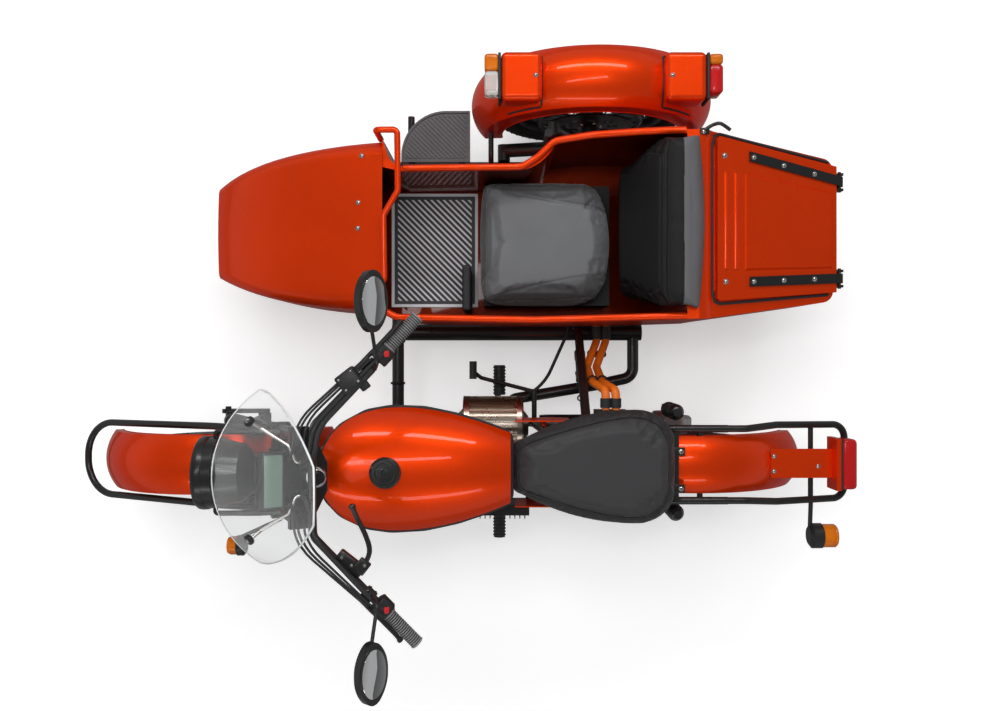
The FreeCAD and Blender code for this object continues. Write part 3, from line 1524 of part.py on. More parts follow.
def make_junction_box():
    """Box on the right seat rail where the power cables end."""
    inner = size.bike_y + size.seat_rail_half + size.seat_rail_tube / 2 + size.seat_gap
    return block(100, BOX_DEPTH, 84, 486, inner + BOX_DEPTH / 2, 604)


BOX_DEPTH = 44
keep("junction_box", make_junction_box())


def make_power_cables():
    """Two cables from the sidecar's flank to the junction box."""
    box_face = (size.bike_y + size.seat_rail_half + size.seat_rail_tube / 2 + BOX_DEPTH
                + 2 * size.seat_gap)
    cables = []
    for shift in (0, 32):
        route = [(474 + shift, 73.1, 340), (474 + shift, 20, 340), (432 + shift, -70, 424),
                 (440 + shift, -118, 536), (470 + shift, -142, 650), (470 + shift, box_face, 650)]
        cables.append(shaped(tube(route, size.cable_dia, 22)))
    return together(*cables)


keep("power_cables", make_power_cables())


# ---------------------------------------------------------------- check and write
doc.recompute()
failed = [item.Label for item in doc.Objects if {"Invalid", "Error"} & set(item.State)]
if failed:
    raise RuntimeError(f"features that didn't build: {failed}")
for label, piece in NODES.items():
    if piece.Shape.isNull() or not piece.Shape.isValid() or not piece.Shape.Solids:
        raise RuntimeError(f"{label} has no sound solid")

os.makedirs("parts", exist_ok=True)
for label, piece in NODES.items():
    piece.Shape.exportStep(f"parts/{label}.step")
print(f"{len(NODES)} pieces written")
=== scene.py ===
# %% [markdown]
# # A sidecar motorcycle, finished in Blender
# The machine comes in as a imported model: every tube, wheel and panel at its real size.
# This lesson gives those pieces their finishes and adds what is too small, too soft or too
# repeated for construction drawings: seat covers, tread, screws, springs, lamps and trim.

# %% Load the machine
import json
import math

import bmesh
import bpy
import numpy as np
from mathutils import Matrix, Vector
from mathutils.bvhtree import BVHTree


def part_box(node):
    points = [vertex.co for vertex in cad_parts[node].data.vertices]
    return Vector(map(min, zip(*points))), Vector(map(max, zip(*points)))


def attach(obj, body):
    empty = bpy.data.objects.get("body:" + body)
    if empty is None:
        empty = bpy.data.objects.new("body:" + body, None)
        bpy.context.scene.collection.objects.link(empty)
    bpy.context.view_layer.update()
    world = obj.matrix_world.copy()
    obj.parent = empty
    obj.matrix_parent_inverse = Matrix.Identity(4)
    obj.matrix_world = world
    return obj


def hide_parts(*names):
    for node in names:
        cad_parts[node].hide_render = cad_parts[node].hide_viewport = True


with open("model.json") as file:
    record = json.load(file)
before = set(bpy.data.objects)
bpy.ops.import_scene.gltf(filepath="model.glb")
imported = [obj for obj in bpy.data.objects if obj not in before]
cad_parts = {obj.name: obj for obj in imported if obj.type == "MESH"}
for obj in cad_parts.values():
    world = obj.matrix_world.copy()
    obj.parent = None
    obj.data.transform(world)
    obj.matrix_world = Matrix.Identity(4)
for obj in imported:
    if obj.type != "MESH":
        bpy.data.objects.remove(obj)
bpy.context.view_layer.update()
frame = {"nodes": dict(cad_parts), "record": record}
nodes = frame["nodes"]
MM = 0.001
print("pieces that came in:", len(nodes))

# %% [markdown]
# ## Camera
# The machine is looked at from straight above, from three and a half metres up.  A camera
# that isn't turned at all already looks down, with +Y at the top of its picture.


# %% Camera
def new_object(name, data, place=(0, 0, 0)):
    """An object of some data, put in the scene."""
    thing = bpy.data.objects.new(name, data)
    thing.location = place
    bpy.context.scene.collection.objects.link(thing)
    return thing


CAMERA_PLACE = (0.136, -0.031, 3.53)
optics = bpy.data.cameras.new("Overhead camera")
optics.lens = 32.8
optics.sensor_width = 36
optics.clip_end = 60
bpy.context.scene.camera = new_object("Overhead camera", optics, CAMERA_PLACE)
bpy.context.scene.view_settings.view_transform = "Standard"
print("camera at", CAMERA_PLACE)

# %% [markdown]
# ## Studio
# A white floor, a pale world and a few large soft lamps.  To the camera and through glass
# the floor and the world are nearly white.  They light the machine much less than that, and
# what shines in its paint is a dim ceiling, so that the colours stay deep.  Light Path tells
# these rays apart.


# %% Floor and world
def step(tree, kind, inputs=(), **settings):
    """Add a node, set or link its inputs by name or number, and give its outputs."""
    node = tree.nodes.new(kind)
    for setting, value in settings.items():
        setattr(node, setting, value)
    for socket, value in dict(inputs).items():
        if isinstance(value, bpy.types.NodeSocket):
            tree.links.new(value, node.inputs[socket])
        else:
            node.inputs[socket].default_value = value
    return node.outputs


def math_node(tree, operation, *values):
    """The result of a Math node whose inputs are sockets or numbers."""
    return step(tree, "ShaderNodeMath", enumerate(values), operation=operation)[0]


def seen_directly(tree):
    """1 for rays of the camera and through glass, and the outputs of the Light Path node."""
    path = step(tree, "ShaderNodeLightPath")
    return math_node(tree, "MAXIMUM", path["Is Camera Ray"], path["Is Transmission Ray"]), path


REACH = 14.0  # how far the floor runs each way
GIVEN_BACK, SHOWN = 0.34, 0.80  # what the floor throws back at the machine and shows the camera
floor_mesh = bpy.data.meshes.new("Studio floor")
floor_mesh.from_pydata([(-REACH, -REACH, 0), (REACH, -REACH, 0), (REACH, REACH, 0), (-REACH, REACH, 0)],
                       [], [(0, 1, 2, 3)])
new_object("Studio floor", floor_mesh)
paper = bpy.data.materials.new("Studio paper")
paper.use_nodes = True
floor_mesh.materials.append(paper)
tree = paper.node_tree
tree.nodes.clear()
seen, _ = seen_directly(tree)
albedo = step(tree, "ShaderNodeMapRange", {"Value": seen, "To Min": GIVEN_BACK, "To Max": SHOWN})
matt = step(tree, "ShaderNodeBsdfDiffuse", {"Color": albedo[0]})
position = step(tree, "ShaderNodeNewGeometry")["Position"]
away = step(tree, "ShaderNodeVectorMath", {0: position}, operation="LENGTH")["Value"]
spread = step(tree, "ShaderNodeMapRange", {  # the glow evens out the lamps' falloff far away
    "Value": away, "From Min": 1.3, "From Max": 4.5, "To Min": 0.42, "To Max": 0.92})
glow = step(tree, "ShaderNodeEmission", {"Strength": math_node(tree, "MULTIPLY", seen, spread[0])})
both = step(tree, "ShaderNodeAddShader", {0: matt[0], 1: glow[0]})
step(tree, "ShaderNodeOutputMaterial", {"Surface": both[0]})

ROOM_LIGHT = 0.30  # what the room gives a surface from all round
LOW_SHINE, HIGH_SHINE = 0.42, 0.14  # what gloss sees of the room near the floor and overhead
world = bpy.data.worlds.new("Pale room")
bpy.context.scene.world = world
world.use_nodes = True
tree = world.node_tree
seen, path = seen_directly(tree)
height = step(tree, "ShaderNodeSeparateXYZ", {0: step(tree, "ShaderNodeTexCoord")["Generated"]})["Z"]
ceiling = step(tree, "ShaderNodeMapRange", {
    "Value": height, "From Min": 0.15, "From Max": 0.60,
    "To Min": LOW_SHINE - ROOM_LIGHT, "To Max": HIGH_SHINE - ROOM_LIGHT})
shine = math_node(tree, "MULTIPLY_ADD", path["Is Glossy Ray"], ceiling[0], ROOM_LIGHT)
sky = tree.nodes["Background"]
sky.inputs["Color"].default_value = (1, 1, 1, 1)
tree.links.new(math_node(tree, "MULTIPLY_ADD", seen, 1 - ROOM_LIGHT, shine), sky.inputs["Strength"])
print("floor and world ready")

# %% Lamps
LAMPS = [
    # name, where it hangs, what it looks at, width, length, watts, whether it shows in gloss
    ("Top box", (0.1, 1.0, 4.6), (0.1, 0.0, 0.4), 2.2, 3.4, 70, False),
    ("Left strip", (-0.1, -2.5, 2.7), (0.0, -0.3, 0.6), 0.30, 3.6, 14, True),
    ("Right strip", (0.2, 2.7, 3.2), (0.1, 0.5, 0.6), 0.40, 3.6, 46, True),
    ("Crown strip", (-0.2, 0.55, 4.8), (0.0, -0.2, 0.6), 0.30, 3.0, 20, True),
    ("Front box", (-3.6, 0.2, 2.2), (-0.4, 0, 0.6), 1.4, 1.4, 20, False),
]
for name, place, target, width, length, watts, glossy in LAMPS:
    light = bpy.data.lights.new(name, "AREA")
    light.shape = "RECTANGLE"
    light.size = length
    light.size_y = width
    light.energy = watts
    lamp = new_object(name, light, place)
    lamp.rotation_euler = (Vector(target) - Vector(place)).to_track_quat("-Z", "Y").to_euler()
    lamp.visible_glossy = glossy
    print("lamp:", name)

# %% [markdown]
# ## Finishes
# Each finish is a Principled surface whose plain numbers are set on it directly.  What
# changes over the surface, such as flake in the paint, grain in the vinyl or the sandy skin
# of a casting, comes from three small node groups.  All of them read Object coordinates, and
# as every piece lies at the origin, those are metres on the machine.  A "panel" value on a
# mesh marks another cloth, or painted light: a painted highlight on the tops of the mat's
# ribs and on the backrest's roll, and painted shade on the inside of the tub.


# %% Node groups for surface detail
def new_group(title, numbers):
    """A surface group with its own numbers: its tree, its inputs and its Object coordinates."""
    group = bpy.data.node_groups.new(title, "ShaderNodeTree")
    for way, names in (("INPUT", ["Colour", "Roughness", *numbers]),
                       ("OUTPUT", ["Colour", "Roughness", "Height"])):
        for name in names:
            kind = "NodeSocketColor" if name == "Colour" else "NodeSocketFloat"
            socket = group.interface.new_socket(name, in_out=way, socket_type=kind)
            if name in numbers:
                socket.default_value = numbers[name]
    return group, group.nodes.new("NodeGroupInput").outputs, step(group, "ShaderNodeTexCoord")["Object"]


def noise(tree, where, scale, detail=2.0):
    """A noise texture's value at a scale per metre."""
    return step(tree, "ShaderNodeTexNoise", {"Vector": where, "Scale": scale, "Detail": detail})[0]


def about_zero(tree, value, amount):
    """A value between 0 and 1, moved to lie about 0 and scaled."""
    return math_node(tree, "MULTIPLY", math_node(tree, "SUBTRACT", value, 0.5), amount)


def total(tree, first, *others):
    """The sum of sockets and numbers."""
    for other in others:
        first = math_node(tree, "ADD", first, other)
    return first


def panel_times(tree, amount):
    """The mesh's "panel" value times an amount."""
    panel = step(tree, "ShaderNodeAttribute", attribute_name="panel")
    return math_node(tree, "MULTIPLY", panel["Fac"], amount)


def end_group(group, inside, tone, roughness, height):
    """Send out the colour made lighter or darker by a tone, the roughness and the height."""
    grey = step(group, "ShaderNodeCombineColor", {0: tone, 1: tone, 2: tone})
    tinted = step(group, "ShaderNodeMix", {"Factor": 1, 6: inside["Colour"], 7: grey[0]},
                  data_type="RGBA", blend_type="MULTIPLY")
    step(group, "NodeGroupOutput", {"Colour": tinted[2], "Roughness": roughness, "Height": height})
    return group


def make_flake_group():
    """Metal flake under clear coat, with a slow drift of tone, a faint dusting, and painted shade where a
    mesh's "panel" value marks the inside of a shell.
    """
    group, inside, where = new_group("Flake, dust and painted shade", {"Flake": 0.3})
    cells = step(group, "ShaderNodeTexVoronoi", {"Vector": where, "Scale": 1400})
    random = step(group, "ShaderNodeSeparateColor", {0: cells["Color"]})
    speck = about_zero(group, random[0], inside["Flake"])
    drift = about_zero(group, noise(group, where, 5.0), 0.14)
    dust = math_node(group, "MULTIPLY", noise(group, where, 38.0, 4.0), 0.10)
    # a "panel" value of 1 darkens the paint to 0.14 of its tone: painted shade inside the tub
    return end_group(group, inside, total(group, speck, drift, 1.0, panel_times(group, -0.86)),
                     total(group, inside["Roughness"], dust), random[1])


def make_grain_group():
    """Embossed grain of seat vinyl or moulded plastic: small cells with creases between, painted darker as
    shade, and a lift in tone where a mesh's "panel" value marks the seats' cloth panels, the mat's rib tops
    or the backrest's roll.
    """
    group, inside, where = new_group("Grain", {"Cells per metre": 700.0, "Fade": 0.3, "Panel lift": 0.0})
    cells = step(group, "ShaderNodeTexVoronoi", {"Vector": where, "Scale": inside["Cells per metre"]},
                 feature="DISTANCE_TO_EDGE")
    crease = math_node(group, "MINIMUM", math_node(group, "MULTIPLY", cells["Distance"], 4.0), 1.0)
    wear_and_highlight = total(group, about_zero(group, noise(group, where, 9.0, 5.0), inside["Fade"]),
                 panel_times(group, inside["Panel lift"]))
    # the creases are painted darker as shade; the panel lift gives the seats' cloth panels their tone and
    # paints a highlight on the mat's ribs and the backrest's roll
    tone = total(group, math_node(group, "MULTIPLY", crease, 0.25), wear_and_highlight, 0.8)
    rough = math_node(group, "SUBTRACT", inside["Roughness"], math_node(group, "MULTIPLY", crease, 0.08))
    return end_group(group, inside, tone, rough, crease)


def make_skin_group():
    """Skin of cast, plated or powder-coated metal: fine ripple and patches of shine."""
    group, inside, where = new_group("Metal skin", {"Ripple per metre": 500.0, "Patches": 0.2})
    fine = noise(group, where, inside["Ripple per metre"], 3.0)
    patch = about_zero(group, noise(group, where, 14.0, 4.0), inside["Patches"])
    return end_group(group, inside, total(group, patch, 1.0), total(group, inside["Roughness"], patch), fine)


SURFACES = {
    # what a finish calls it: the group and the names of the numbers a finish gives it
    "flake": (make_flake_group(), ("Flake",)),
    "grain": (make_grain_group(), ("Cells per metre", "Fade", "Panel lift")),
    "skin": (make_skin_group(), ("Ripple per metre", "Patches")),
}
print("surface groups:", *SURFACES)

# %% [markdown]
# A finish is then one row: its colour, which group shapes its surface, and the numbers of
# the Principled shader that are the same all over.

# %% The finishes
SHEEN = {"Sheen Roughness": 0.4}
LENS = {"IOR": 1.49}
METAL = {"Metallic": 1.0}
FINISHES = {
    # slot: title, colour, surface, roughness, bump strength, bump in mm, the surface's numbers,
    # and the shader's own values where they aren't the usual ones
    "orange_paint": ("Orange metallic paint", (0.92, 0.052, 0.001), "flake", 0.32, 0.04, 0.05, (0.26,),
                     {"Metallic": 0.65, "Coat Weight": 0.45, "Coat Roughness": 0.03,
                      "Specular Tint": (1.0, 0.30, 0.12, 1.0)}),
    "black_metal": ("Satin black powder coat", (0.010, 0.010, 0.010), "skin", 0.30, 0.12, 0.3, (420, 0.12),
                    {"Coat Weight": 0.35, "Coat Roughness": 0.22}),
    "rubber": ("Moulded rubber", (0.022, 0.022, 0.024), "grain", 0.62, 0.25, 0.2, (900, 0.35)),
    "tyre": ("Tyre rubber", (0.016, 0.016, 0.017), "grain", 0.72, 0.2, 0.2, (500, 0.5)),
    "aluminium": ("Satin aluminium", (0.60, 0.60, 0.61), "skin", 0.32, 0.12, 0.2, (700, 0.18), METAL),
    "zinc_steel": ("Zinc-plated steel", (0.66, 0.65, 0.62), "skin", 0.24, 0.1, 0.1, (300, 0.25), METAL),
    "chrome": ("Chrome", (0.85, 0.85, 0.86), "skin", 0.07, 0.02, 0.05, (60, 0.06), METAL),
    "vinyl": ("Saddle vinyl", (0.016, 0.016, 0.017), "grain", 0.52, 0.5, 0.35, (620, 0.4, 1.2),
              {"Sheen Weight": 0.15, **SHEEN}),
    "seat_vinyl": ("Sidecar seat vinyl", (0.085, 0.087, 0.091), "grain", 0.50, 0.5, 0.35, (520, 0.35, 0.55),
                   {"Sheen Weight": 0.2, **SHEEN}),
    # the backrest's vinyl is painted far darker than the cushion's as shade on its forward face; its Panel
    # lift of 14 paints a highlight on the roll
    "back_vinyl": ("Backrest vinyl", (0.008, 0.008, 0.0085), "grain", 0.55, 0.5, 0.35, (520, 0.25, 14),
                   {"Specular IOR Level": 0.3}),
    # the mat's Panel lift of 12 paints a highlight on the tops of its ribs
    "mat_rubber": ("Mat rubber", (0.060, 0.060, 0.063), "grain", 0.55, 0.25, 0.2, (900, 0.3, 12)),
    "tread_rubber": ("Tread rubber", (0.10, 0.10, 0.105), "grain", 0.55, 0.25, 0.2, (900, 0.4)),
    # the grips are black rubber; their light grey is painted sheen
    "grip_rubber": ("Grip rubber", (0.24, 0.24, 0.245), "grain", 0.60, 0.25, 0.2, (900, 0.3)),
    "dark_alloy": ("Black anodised wheel", (0.045, 0.045, 0.047), "skin", 0.34, 0.12, 0.2, (500, 0.15),
                   {"Metallic": 0.8}),
    "thread": ("Cover thread", (0.05, 0.05, 0.054), "grain", 0.6, 0.1, 0.1, (2500, 0.2)),
    "bronze_case": ("Bronze anodised alloy", (0.54, 0.46, 0.39), "skin", 0.28, 0.1, 0.2, (420, 0.2), METAL),
    "black_plastic": ("Moulded black plastic", (0.018, 0.018, 0.019), "grain", 0.40, 0.2, 0.15, (1100, 0.2)),
    "orange_cable": ("Orange cable sleeve", (0.80, 0.17, 0.012), "grain", 0.42, 0.15, 0.1, (1200, 0.3)),
    "amber_lens": ("Amber lens", (0.80, 0.20, 0.004), "skin", 0.10, 0.1, 0.3, (160, 0.05),
                   {"Transmission Weight": 0.35, **LENS}),
    "red_lens": ("Red lens", (0.62, 0.012, 0.014), "skin", 0.10, 0.1, 0.3, (160, 0.05),
                 {"Transmission Weight": 0.3, **LENS}),
    "clear_lens": ("Clear lens", (0.85, 0.86, 0.83), "skin", 0.08, 0.2, 0.4, (140, 0.03),
                   {"Transmission Weight": 0.6, **LENS}),
    "clear_screen": ("Clear acrylic screen", (0.97, 0.98, 0.98), "skin", 0.015, 0.01, 0.05, (30, 0.01),
                     {"Transmission Weight": 1.0, "IOR": 1.46}),
    "screen_edge": ("Cut acrylic edge", (0.86, 0.89, 0.90), "skin", 0.12, 0.05, 0.1, (300,),
                    {"Coat Weight": 0.6}),
    "mirror_glass": ("Mirror glass", (0.78, 0.79, 0.80), "skin", 0.02, 0.01, 0.05, (20, 0.01), METAL),
    "display_glass": ("Display glass", (0.20, 0.30, 0.24), "skin", 0.12, 0.02, 0.05, (40, 0.03),
                      {"Coat Weight": 0.6, "Coat Roughness": 0.05}),
    "red_switch": ("Red switch cap", (0.70, 0.02, 0.02), "grain", 0.35, 0.1, 0.1, (1000, 0.1)),
}


def make_finish(title, colour, surface, roughness, bump, bump_mm, numbers, values=()):
    """A Principled material fed by one of the surface groups."""
    material = bpy.data.materials.new(title)
    material.use_nodes = True
    tree = material.node_tree
    group, sockets = SURFACES[surface]
    detail = step(tree, "ShaderNodeGroup", {"Colour": (*colour, 1), "Roughness": roughness,
                                            **dict(zip(sockets, numbers))}, node_tree=group)
    relief = step(tree, "ShaderNodeBump", {"Strength": bump, "Distance": bump_mm * MM,
                                           "Height": detail["Height"]})
    shader = tree.nodes["Principled BSDF"].inputs
    for start, socket in ((detail["Colour"], "Base Color"), (detail["Roughness"], "Roughness"),
                          (relief[0], "Normal")):
        tree.links.new(start, shader[socket])
    for socket, value in dict(values).items():
        shader[socket].default_value = value
    return material


finishes = {slot: make_finish(*row) for slot, row in FINISHES.items()}
FINISH_OF = {"floor_mat": "mat_rubber", "step_board": "tread_rubber", "knee_pad": "rubber",
             "seat_base": "tyre",
             **dict.fromkeys(("front_wheel", "rear_wheel", "sidecar_wheel"), "dark_alloy")}
for row in frame["record"]["subparts"]:
    holder = nodes[row["node"]]
    holder.data.materials.clear()
    holder.data.materials.append(finishes[FINISH_OF.get(row["node"], row["material_slot"])])
print("finishes:", len(finishes))

# %% [markdown]
# ## Tools for small forms
# Lamps, levers, rims and rods are made of three kinds of shape: turned ones, flat ones with
# softened edges, and rods along a path.  Each tool adds its shape to one mesh in
# millimetres, so a piece can be put together from many before it becomes an object.


# %% Turned, flat and bent shapes
def turned_to(direction, place=(0, 0, 0)):
    """A matrix that stands a shape's own Z along a direction, at a place."""
    return Matrix.Translation(Vector(place)) @ Vector(direction).to_track_quat("Z", "Y").to_matrix().to_4x4()


def circle(count, shift=0.0):
    """Evenly spaced pairs of cosine and sine; a shift turns them by a share of a step."""
    turns = [math.tau * (k + shift) / count for k in range(count)]
    return [(math.cos(turn), math.sin(turn)) for turn in turns]


def lathe(shape, profile, place, axis, sides):
    """Turn a profile of (radius, height) round an axis; a radius of 0 closes an end."""
    stand = turned_to(axis, place)
    rings = [[shape.verts.new(stand @ Vector((radius * c, radius * s, height)))
              for c, s in (circle(sides) if radius else circle(1))] for radius, height in profile]
    for low, high in zip(rings, rings[1:]):
        for k in range(sides):
            corners = [low[k % len(low)], low[(k + 1) % len(low)],
                       high[(k + 1) % len(high)], high[k % len(high)]]
            shape.faces.new(list(dict.fromkeys(corners)))


def plate(shape, outline, low, high, bevel, stand=None):
    """A plate with rounded edges over an outline of (x, y), moved by a matrix if one is given."""
    part = bmesh.new()
    base = part.faces.new([part.verts.new((x, y, low)) for x, y in outline])
    raised = bmesh.ops.extrude_face_region(part, geom=[base])
    bmesh.ops.translate(part, vec=(0, 0, high - low),
                        verts=[item for item in raised["geom"] if isinstance(item, bmesh.types.BMVert)])
    bmesh.ops.bevel(part, geom=part.edges[:], offset=bevel, segments=3, affect="EDGES", profile=0.5)
    bmesh.ops.recalc_face_normals(part, faces=part.faces[:])
    blank = bpy.data.meshes.new("part")
    part.to_mesh(blank)
    part.free()
    if stand is not None:
        blank.transform(stand)
    shape.from_mesh(blank)
    bpy.data.meshes.remove(blank)


def box_plate(shape, middle, extent, bevel, stand=None):
    """A softened block about a middle point."""
    x, y, z = middle
    a, b, c = (value / 2 for value in extent)
    plate(shape, [(x - a, y - b), (x + a, y - b), (x + a, y + b), (x - a, y + b)], z - c, z + c, bevel, stand)


def rounded_path(points, bend, closed=False, steps=5):
    """A path whose corners are eased into short curves."""
    points = [Vector(point) for point in points]
    result = []
    for number, corner in enumerate(points):
        if not closed and number in (0, len(points) - 1):
            result.append(corner)
            continue
        before, after = points[number - 1], points[(number + 1) % len(points)]
        start, stop = (corner + (end - corner).normalized() * min(bend, (end - corner).length * 0.49)
                       for end in (before, after))
        for t in (k / steps for k in range(steps + 1)):
            result.append(start.lerp(corner, t).lerp(corner.lerp(stop, t), t))
    return result


def rod(shape, points, radius, sides=12, closed=False):
    """A round bar along a path, carried round its turns without twisting."""
    points = [Vector(point) for point in points]
    count = len(points)
    rings = []
    side = None
    for number, point in enumerate(points):
        before = points[number - 1] if closed or number else point
        after = points[(number + 1) % count] if closed or number < count - 1 else point
        along = (after - before).normalized()
        side = side or along.orthogonal().normalized()
        side = (side - along * side.dot(along)).normalized()
        other = along.cross(side)
        rings.append([shape.verts.new(point + side * (radius * c) + other * (radius * s))
                      for c, s in circle(sides)])
    for low, high in zip(rings, rings[1:] + (rings[:1] if closed else [])):
        for k in range(sides):
            shape.faces.new([low[k], low[(k + 1) % sides], high[(k + 1) % sides], high[k]])
    if not closed:
        shape.faces.new(rings[0][::-1])
        shape.faces.new(rings[-1])


def hoop(shape, centre, axis, radius, thick, sides=36):
    """A closed round ring about an axis."""
    stand = turned_to(axis, centre)
    rod(shape, [stand @ Vector((radius * c, radius * s, 0)) for c, s in circle(sides)], thick, 8, True)


SLOT_OF = {"chrome": "zinc_steel", "mirror_glass": "zinc_steel", "clear_lens": "clear_screen",
           "display_glass": "black_plastic", "red_switch": "red_lens", "screen_edge": "clear_screen",
           "dark_alloy": "aluminium", **dict.fromkeys(("thread", "seat_vinyl", "back_vinyl"), "vinyl"),
           **dict.fromkeys(("mat_rubber", "tread_rubber", "grip_rubber"), "rubber")}


def show(name, shape, finish, body="chassis", replaced=(), soft_angle=35):
    """Make a finished piece of a mesh in millimetres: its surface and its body."""
    if isinstance(shape, bmesh.types.BMesh):
        bmesh.ops.recalc_face_normals(shape, faces=shape.faces[:])
        mesh = bpy.data.meshes.new(name)
        shape.to_mesh(mesh)
        shape.free()
        mesh.transform(Matrix.Scale(MM, 4))
    else:
        mesh = shape
        mesh.name = name
    mesh.polygons.foreach_set("use_smooth", [True] * len(mesh.polygons))
    mesh.set_sharp_from_angle(angle=math.radians(soft_angle))
    mesh.materials.clear()
    mesh.materials.append(finishes[finish])
    piece = new_object(name, mesh)
    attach(piece, body)
    if replaced:
        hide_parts(*replaced)
    print(name, "on", body, "in", finish)
    return piece


def make(name, finish, body, *parts, replaced=(), soft_angle=35):
    """A finished piece of one or more shapes: each part is a tool and what the tool is given."""
    shape = bmesh.new()
    for tool, *given in parts:
        tool(shape, *given)
    return show(name, shape, finish, body, replaced, soft_angle)


def welded(shape):
    """Close a turned shape whose profile ends where it starts."""
    bmesh.ops.remove_doubles(shape, verts=shape.verts[:], dist=0.001)


# %% [markdown]
# ## Where small things sit
# A screw has to touch the panel it holds.  A ray sent at the model finds the panel's own
# surface and slope, so most small things aren't placed by eye.

# %% Find a surface
TREES = {}
VIEWS = {
    # which way the surface faces: the ray's direction and how two numbers make its start
    "+z": (Vector((0, 0, -1)), lambda a, b: Vector((a, b, 2000))),
    "-x": (Vector((1, 0, 0)), lambda a, b: Vector((-3000, a, b))),
    "+y": (Vector((0, -1, 0)), lambda a, b: Vector((a, 3000, b))),
}


def mesh_tree(mesh):
    """A metre mesh as a surface in millimetres for rays."""
    return BVHTree.FromPolygons([vertex.co / MM for vertex in mesh.vertices],
                                [tuple(face.vertices) for face in mesh.polygons])


def surface(node):
    """A node's surface, ready to be hit by rays; built once."""
    if node not in TREES:
        TREES[node] = mesh_tree(nodes[node].data)
    return TREES[node]


def corners_of(node):
    """A node's lowest and highest corners in millimetres."""
    return [[value / MM for value in corner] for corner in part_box(node)]


def seat_on(tree, side, a, b):
    """The first point of a surface seen from a side, and its normal there; nothing if it misses."""
    direction, start = VIEWS[side]
    point, normal, _, _ = tree.ray_cast(start(a, b), direction)
    if point is None:
        return None
    return point, normal if normal.dot(direction) < 0 else -normal


def laid_on(tree, path, side="+z", spacing=6.0):
    """A path of number pairs as points spaced along the surface seen from a side."""
    points = []
    for (a, b), (c, d) in zip(path, path[1:]):
        steps = max(1, round(math.hypot(c - a, d - b) / spacing))
        points += [(a + (c - a) * k / steps, b + (d - b) * k / steps) for k in range(steps)]
    points.append(path[-1])
    return [seat for seat in (seat_on(tree, side, a, b) for a, b in points) if seat]


def along_surface(shape, node, path, thick, lift):
    """A bead laid on a node's surface, seen from above, along a path of number pairs."""
    rod(shape, [point + normal * lift for point, normal in laid_on(surface(node), path, "+z", 16)], thick, 8)


# %% [markdown]
# ## Repeated fittings
# Screws, bolts, tread blocks and spoke nipples are one small shape many times over.  A
# Geometry Nodes tree sets that shape on every point of a mesh, turned the way the point's
# "facing" says and as large as its "reach", then makes it real and gives it its finish.


# %% Geometry Nodes helpers
def new_tree(title, **inputs):
    """A geometry tree with named inputs, besides the geometry itself and the finish."""
    tree = bpy.data.node_groups.new(title, "GeometryNodeTree")
    for name, kind in {"Geometry": "Geometry", **inputs, "Finish": "Material"}.items():
        tree.interface.new_socket(name, in_out="INPUT", socket_type=f"NodeSocket{kind}")
    tree.interface.new_socket("Geometry", in_out="OUTPUT", socket_type="NodeSocketGeometry")
    return tree, tree.nodes.new("NodeGroupInput").outputs


def close_tree(tree, geometry, inside):
    """End a tree in real geometry that carries the finish."""
    real = step(tree, "GeometryNodeRealizeInstances", {"Geometry": geometry})
    coated = step(tree, "GeometryNodeSetMaterial", {"Geometry": real[0], "Material": inside["Finish"]})
    step(tree, "NodeGroupOutput", {0: coated[0]})


def as_it_stands(thing):
    """The mesh an object has after its modifiers."""
    return bpy.data.meshes.new_from_object(thing.evaluated_get(bpy.context.evaluated_depsgraph_get()))


def grown(tree, mesh, values):
    """Run a tree on a mesh and give the plain mesh that comes out."""
    holder = new_object("grower", mesh)
    modifier = holder.modifiers.new(tree.name, "NODES")
    modifier.node_group = tree
    for socket in tree.interface.items_tree:
        if socket.in_out == "INPUT" and socket.name in values:
            modifier[socket.identifier] = values[socket.name]
    result = as_it_stands(holder)
    holder.modifiers.remove(modifier)
    bpy.data.objects.remove(holder)
    return result


# %% The tree that sets fittings on points
FITTINGS = {
    # each is built of cones (sides, top radius, bottom radius, depth, height it starts at) and
    # balls (segments, rings, radius, height, how far it is flattened)
    "dome": [("cone", 18, 0.92, 1.0, 0.2, -0.05), ("ball", 16, 10, 0.76, 0.12, 0.62)],
    "hex": [("cone", 18, 0.96, 1.0, 0.2, -0.05), ("cone", 6, 0.8, 0.8, 0.5, 0.14),
            ("cone", 6, 0.64, 0.8, 0.1, 0.64)],
    "block": [("cone", 4, 1.18, 1.38, 1.0, -0.6)],
    "nipple": [("cone", 10, 0.7, 1.0, 2.6, -0.4)],
    "socket": [("cone", 18, 0.9, 1.0, 0.55, -0.05), ("cone", 18, 0.62, 0.62, 0.2, 0.45),
               ("ball", 6, 3, 0.42, 0.62, 0.3)],
}
fitting_tree, inside = new_tree("Fittings on points", Kind="Int")
chosen = fitting_tree.nodes.new("GeometryNodeIndexSwitch")
chosen.data_type = "GEOMETRY"
while len(chosen.index_switch_items) < len(FITTINGS):
    chosen.index_switch_items.new()
fitting_tree.links.new(inside["Kind"], chosen.inputs[0])
for number, forms in enumerate(FITTINGS.values()):
    whole = fitting_tree.nodes.new("GeometryNodeJoinGeometry")
    for form, first, second, third, *rest in forms:
        if form == "cone":
            made = step(fitting_tree, "GeometryNodeMeshCone", {
                "Vertices": first, "Radius Top": second, "Radius Bottom": third, "Depth": rest[0]})
            lift, flat = rest[1], 1
        else:
            made = step(fitting_tree, "GeometryNodeMeshUVSphere", {
                "Segments": first, "Rings": second, "Radius": third})
            lift, flat = rest
        moved = step(fitting_tree, "GeometryNodeTransform", {
            "Geometry": made["Mesh"], "Translation": (0, 0, lift), "Scale": (1, 1, flat)})
        fitting_tree.links.new(moved[0], whole.inputs[0])
    fitting_tree.links.new(whole.outputs[0], chosen.inputs[number + 1])
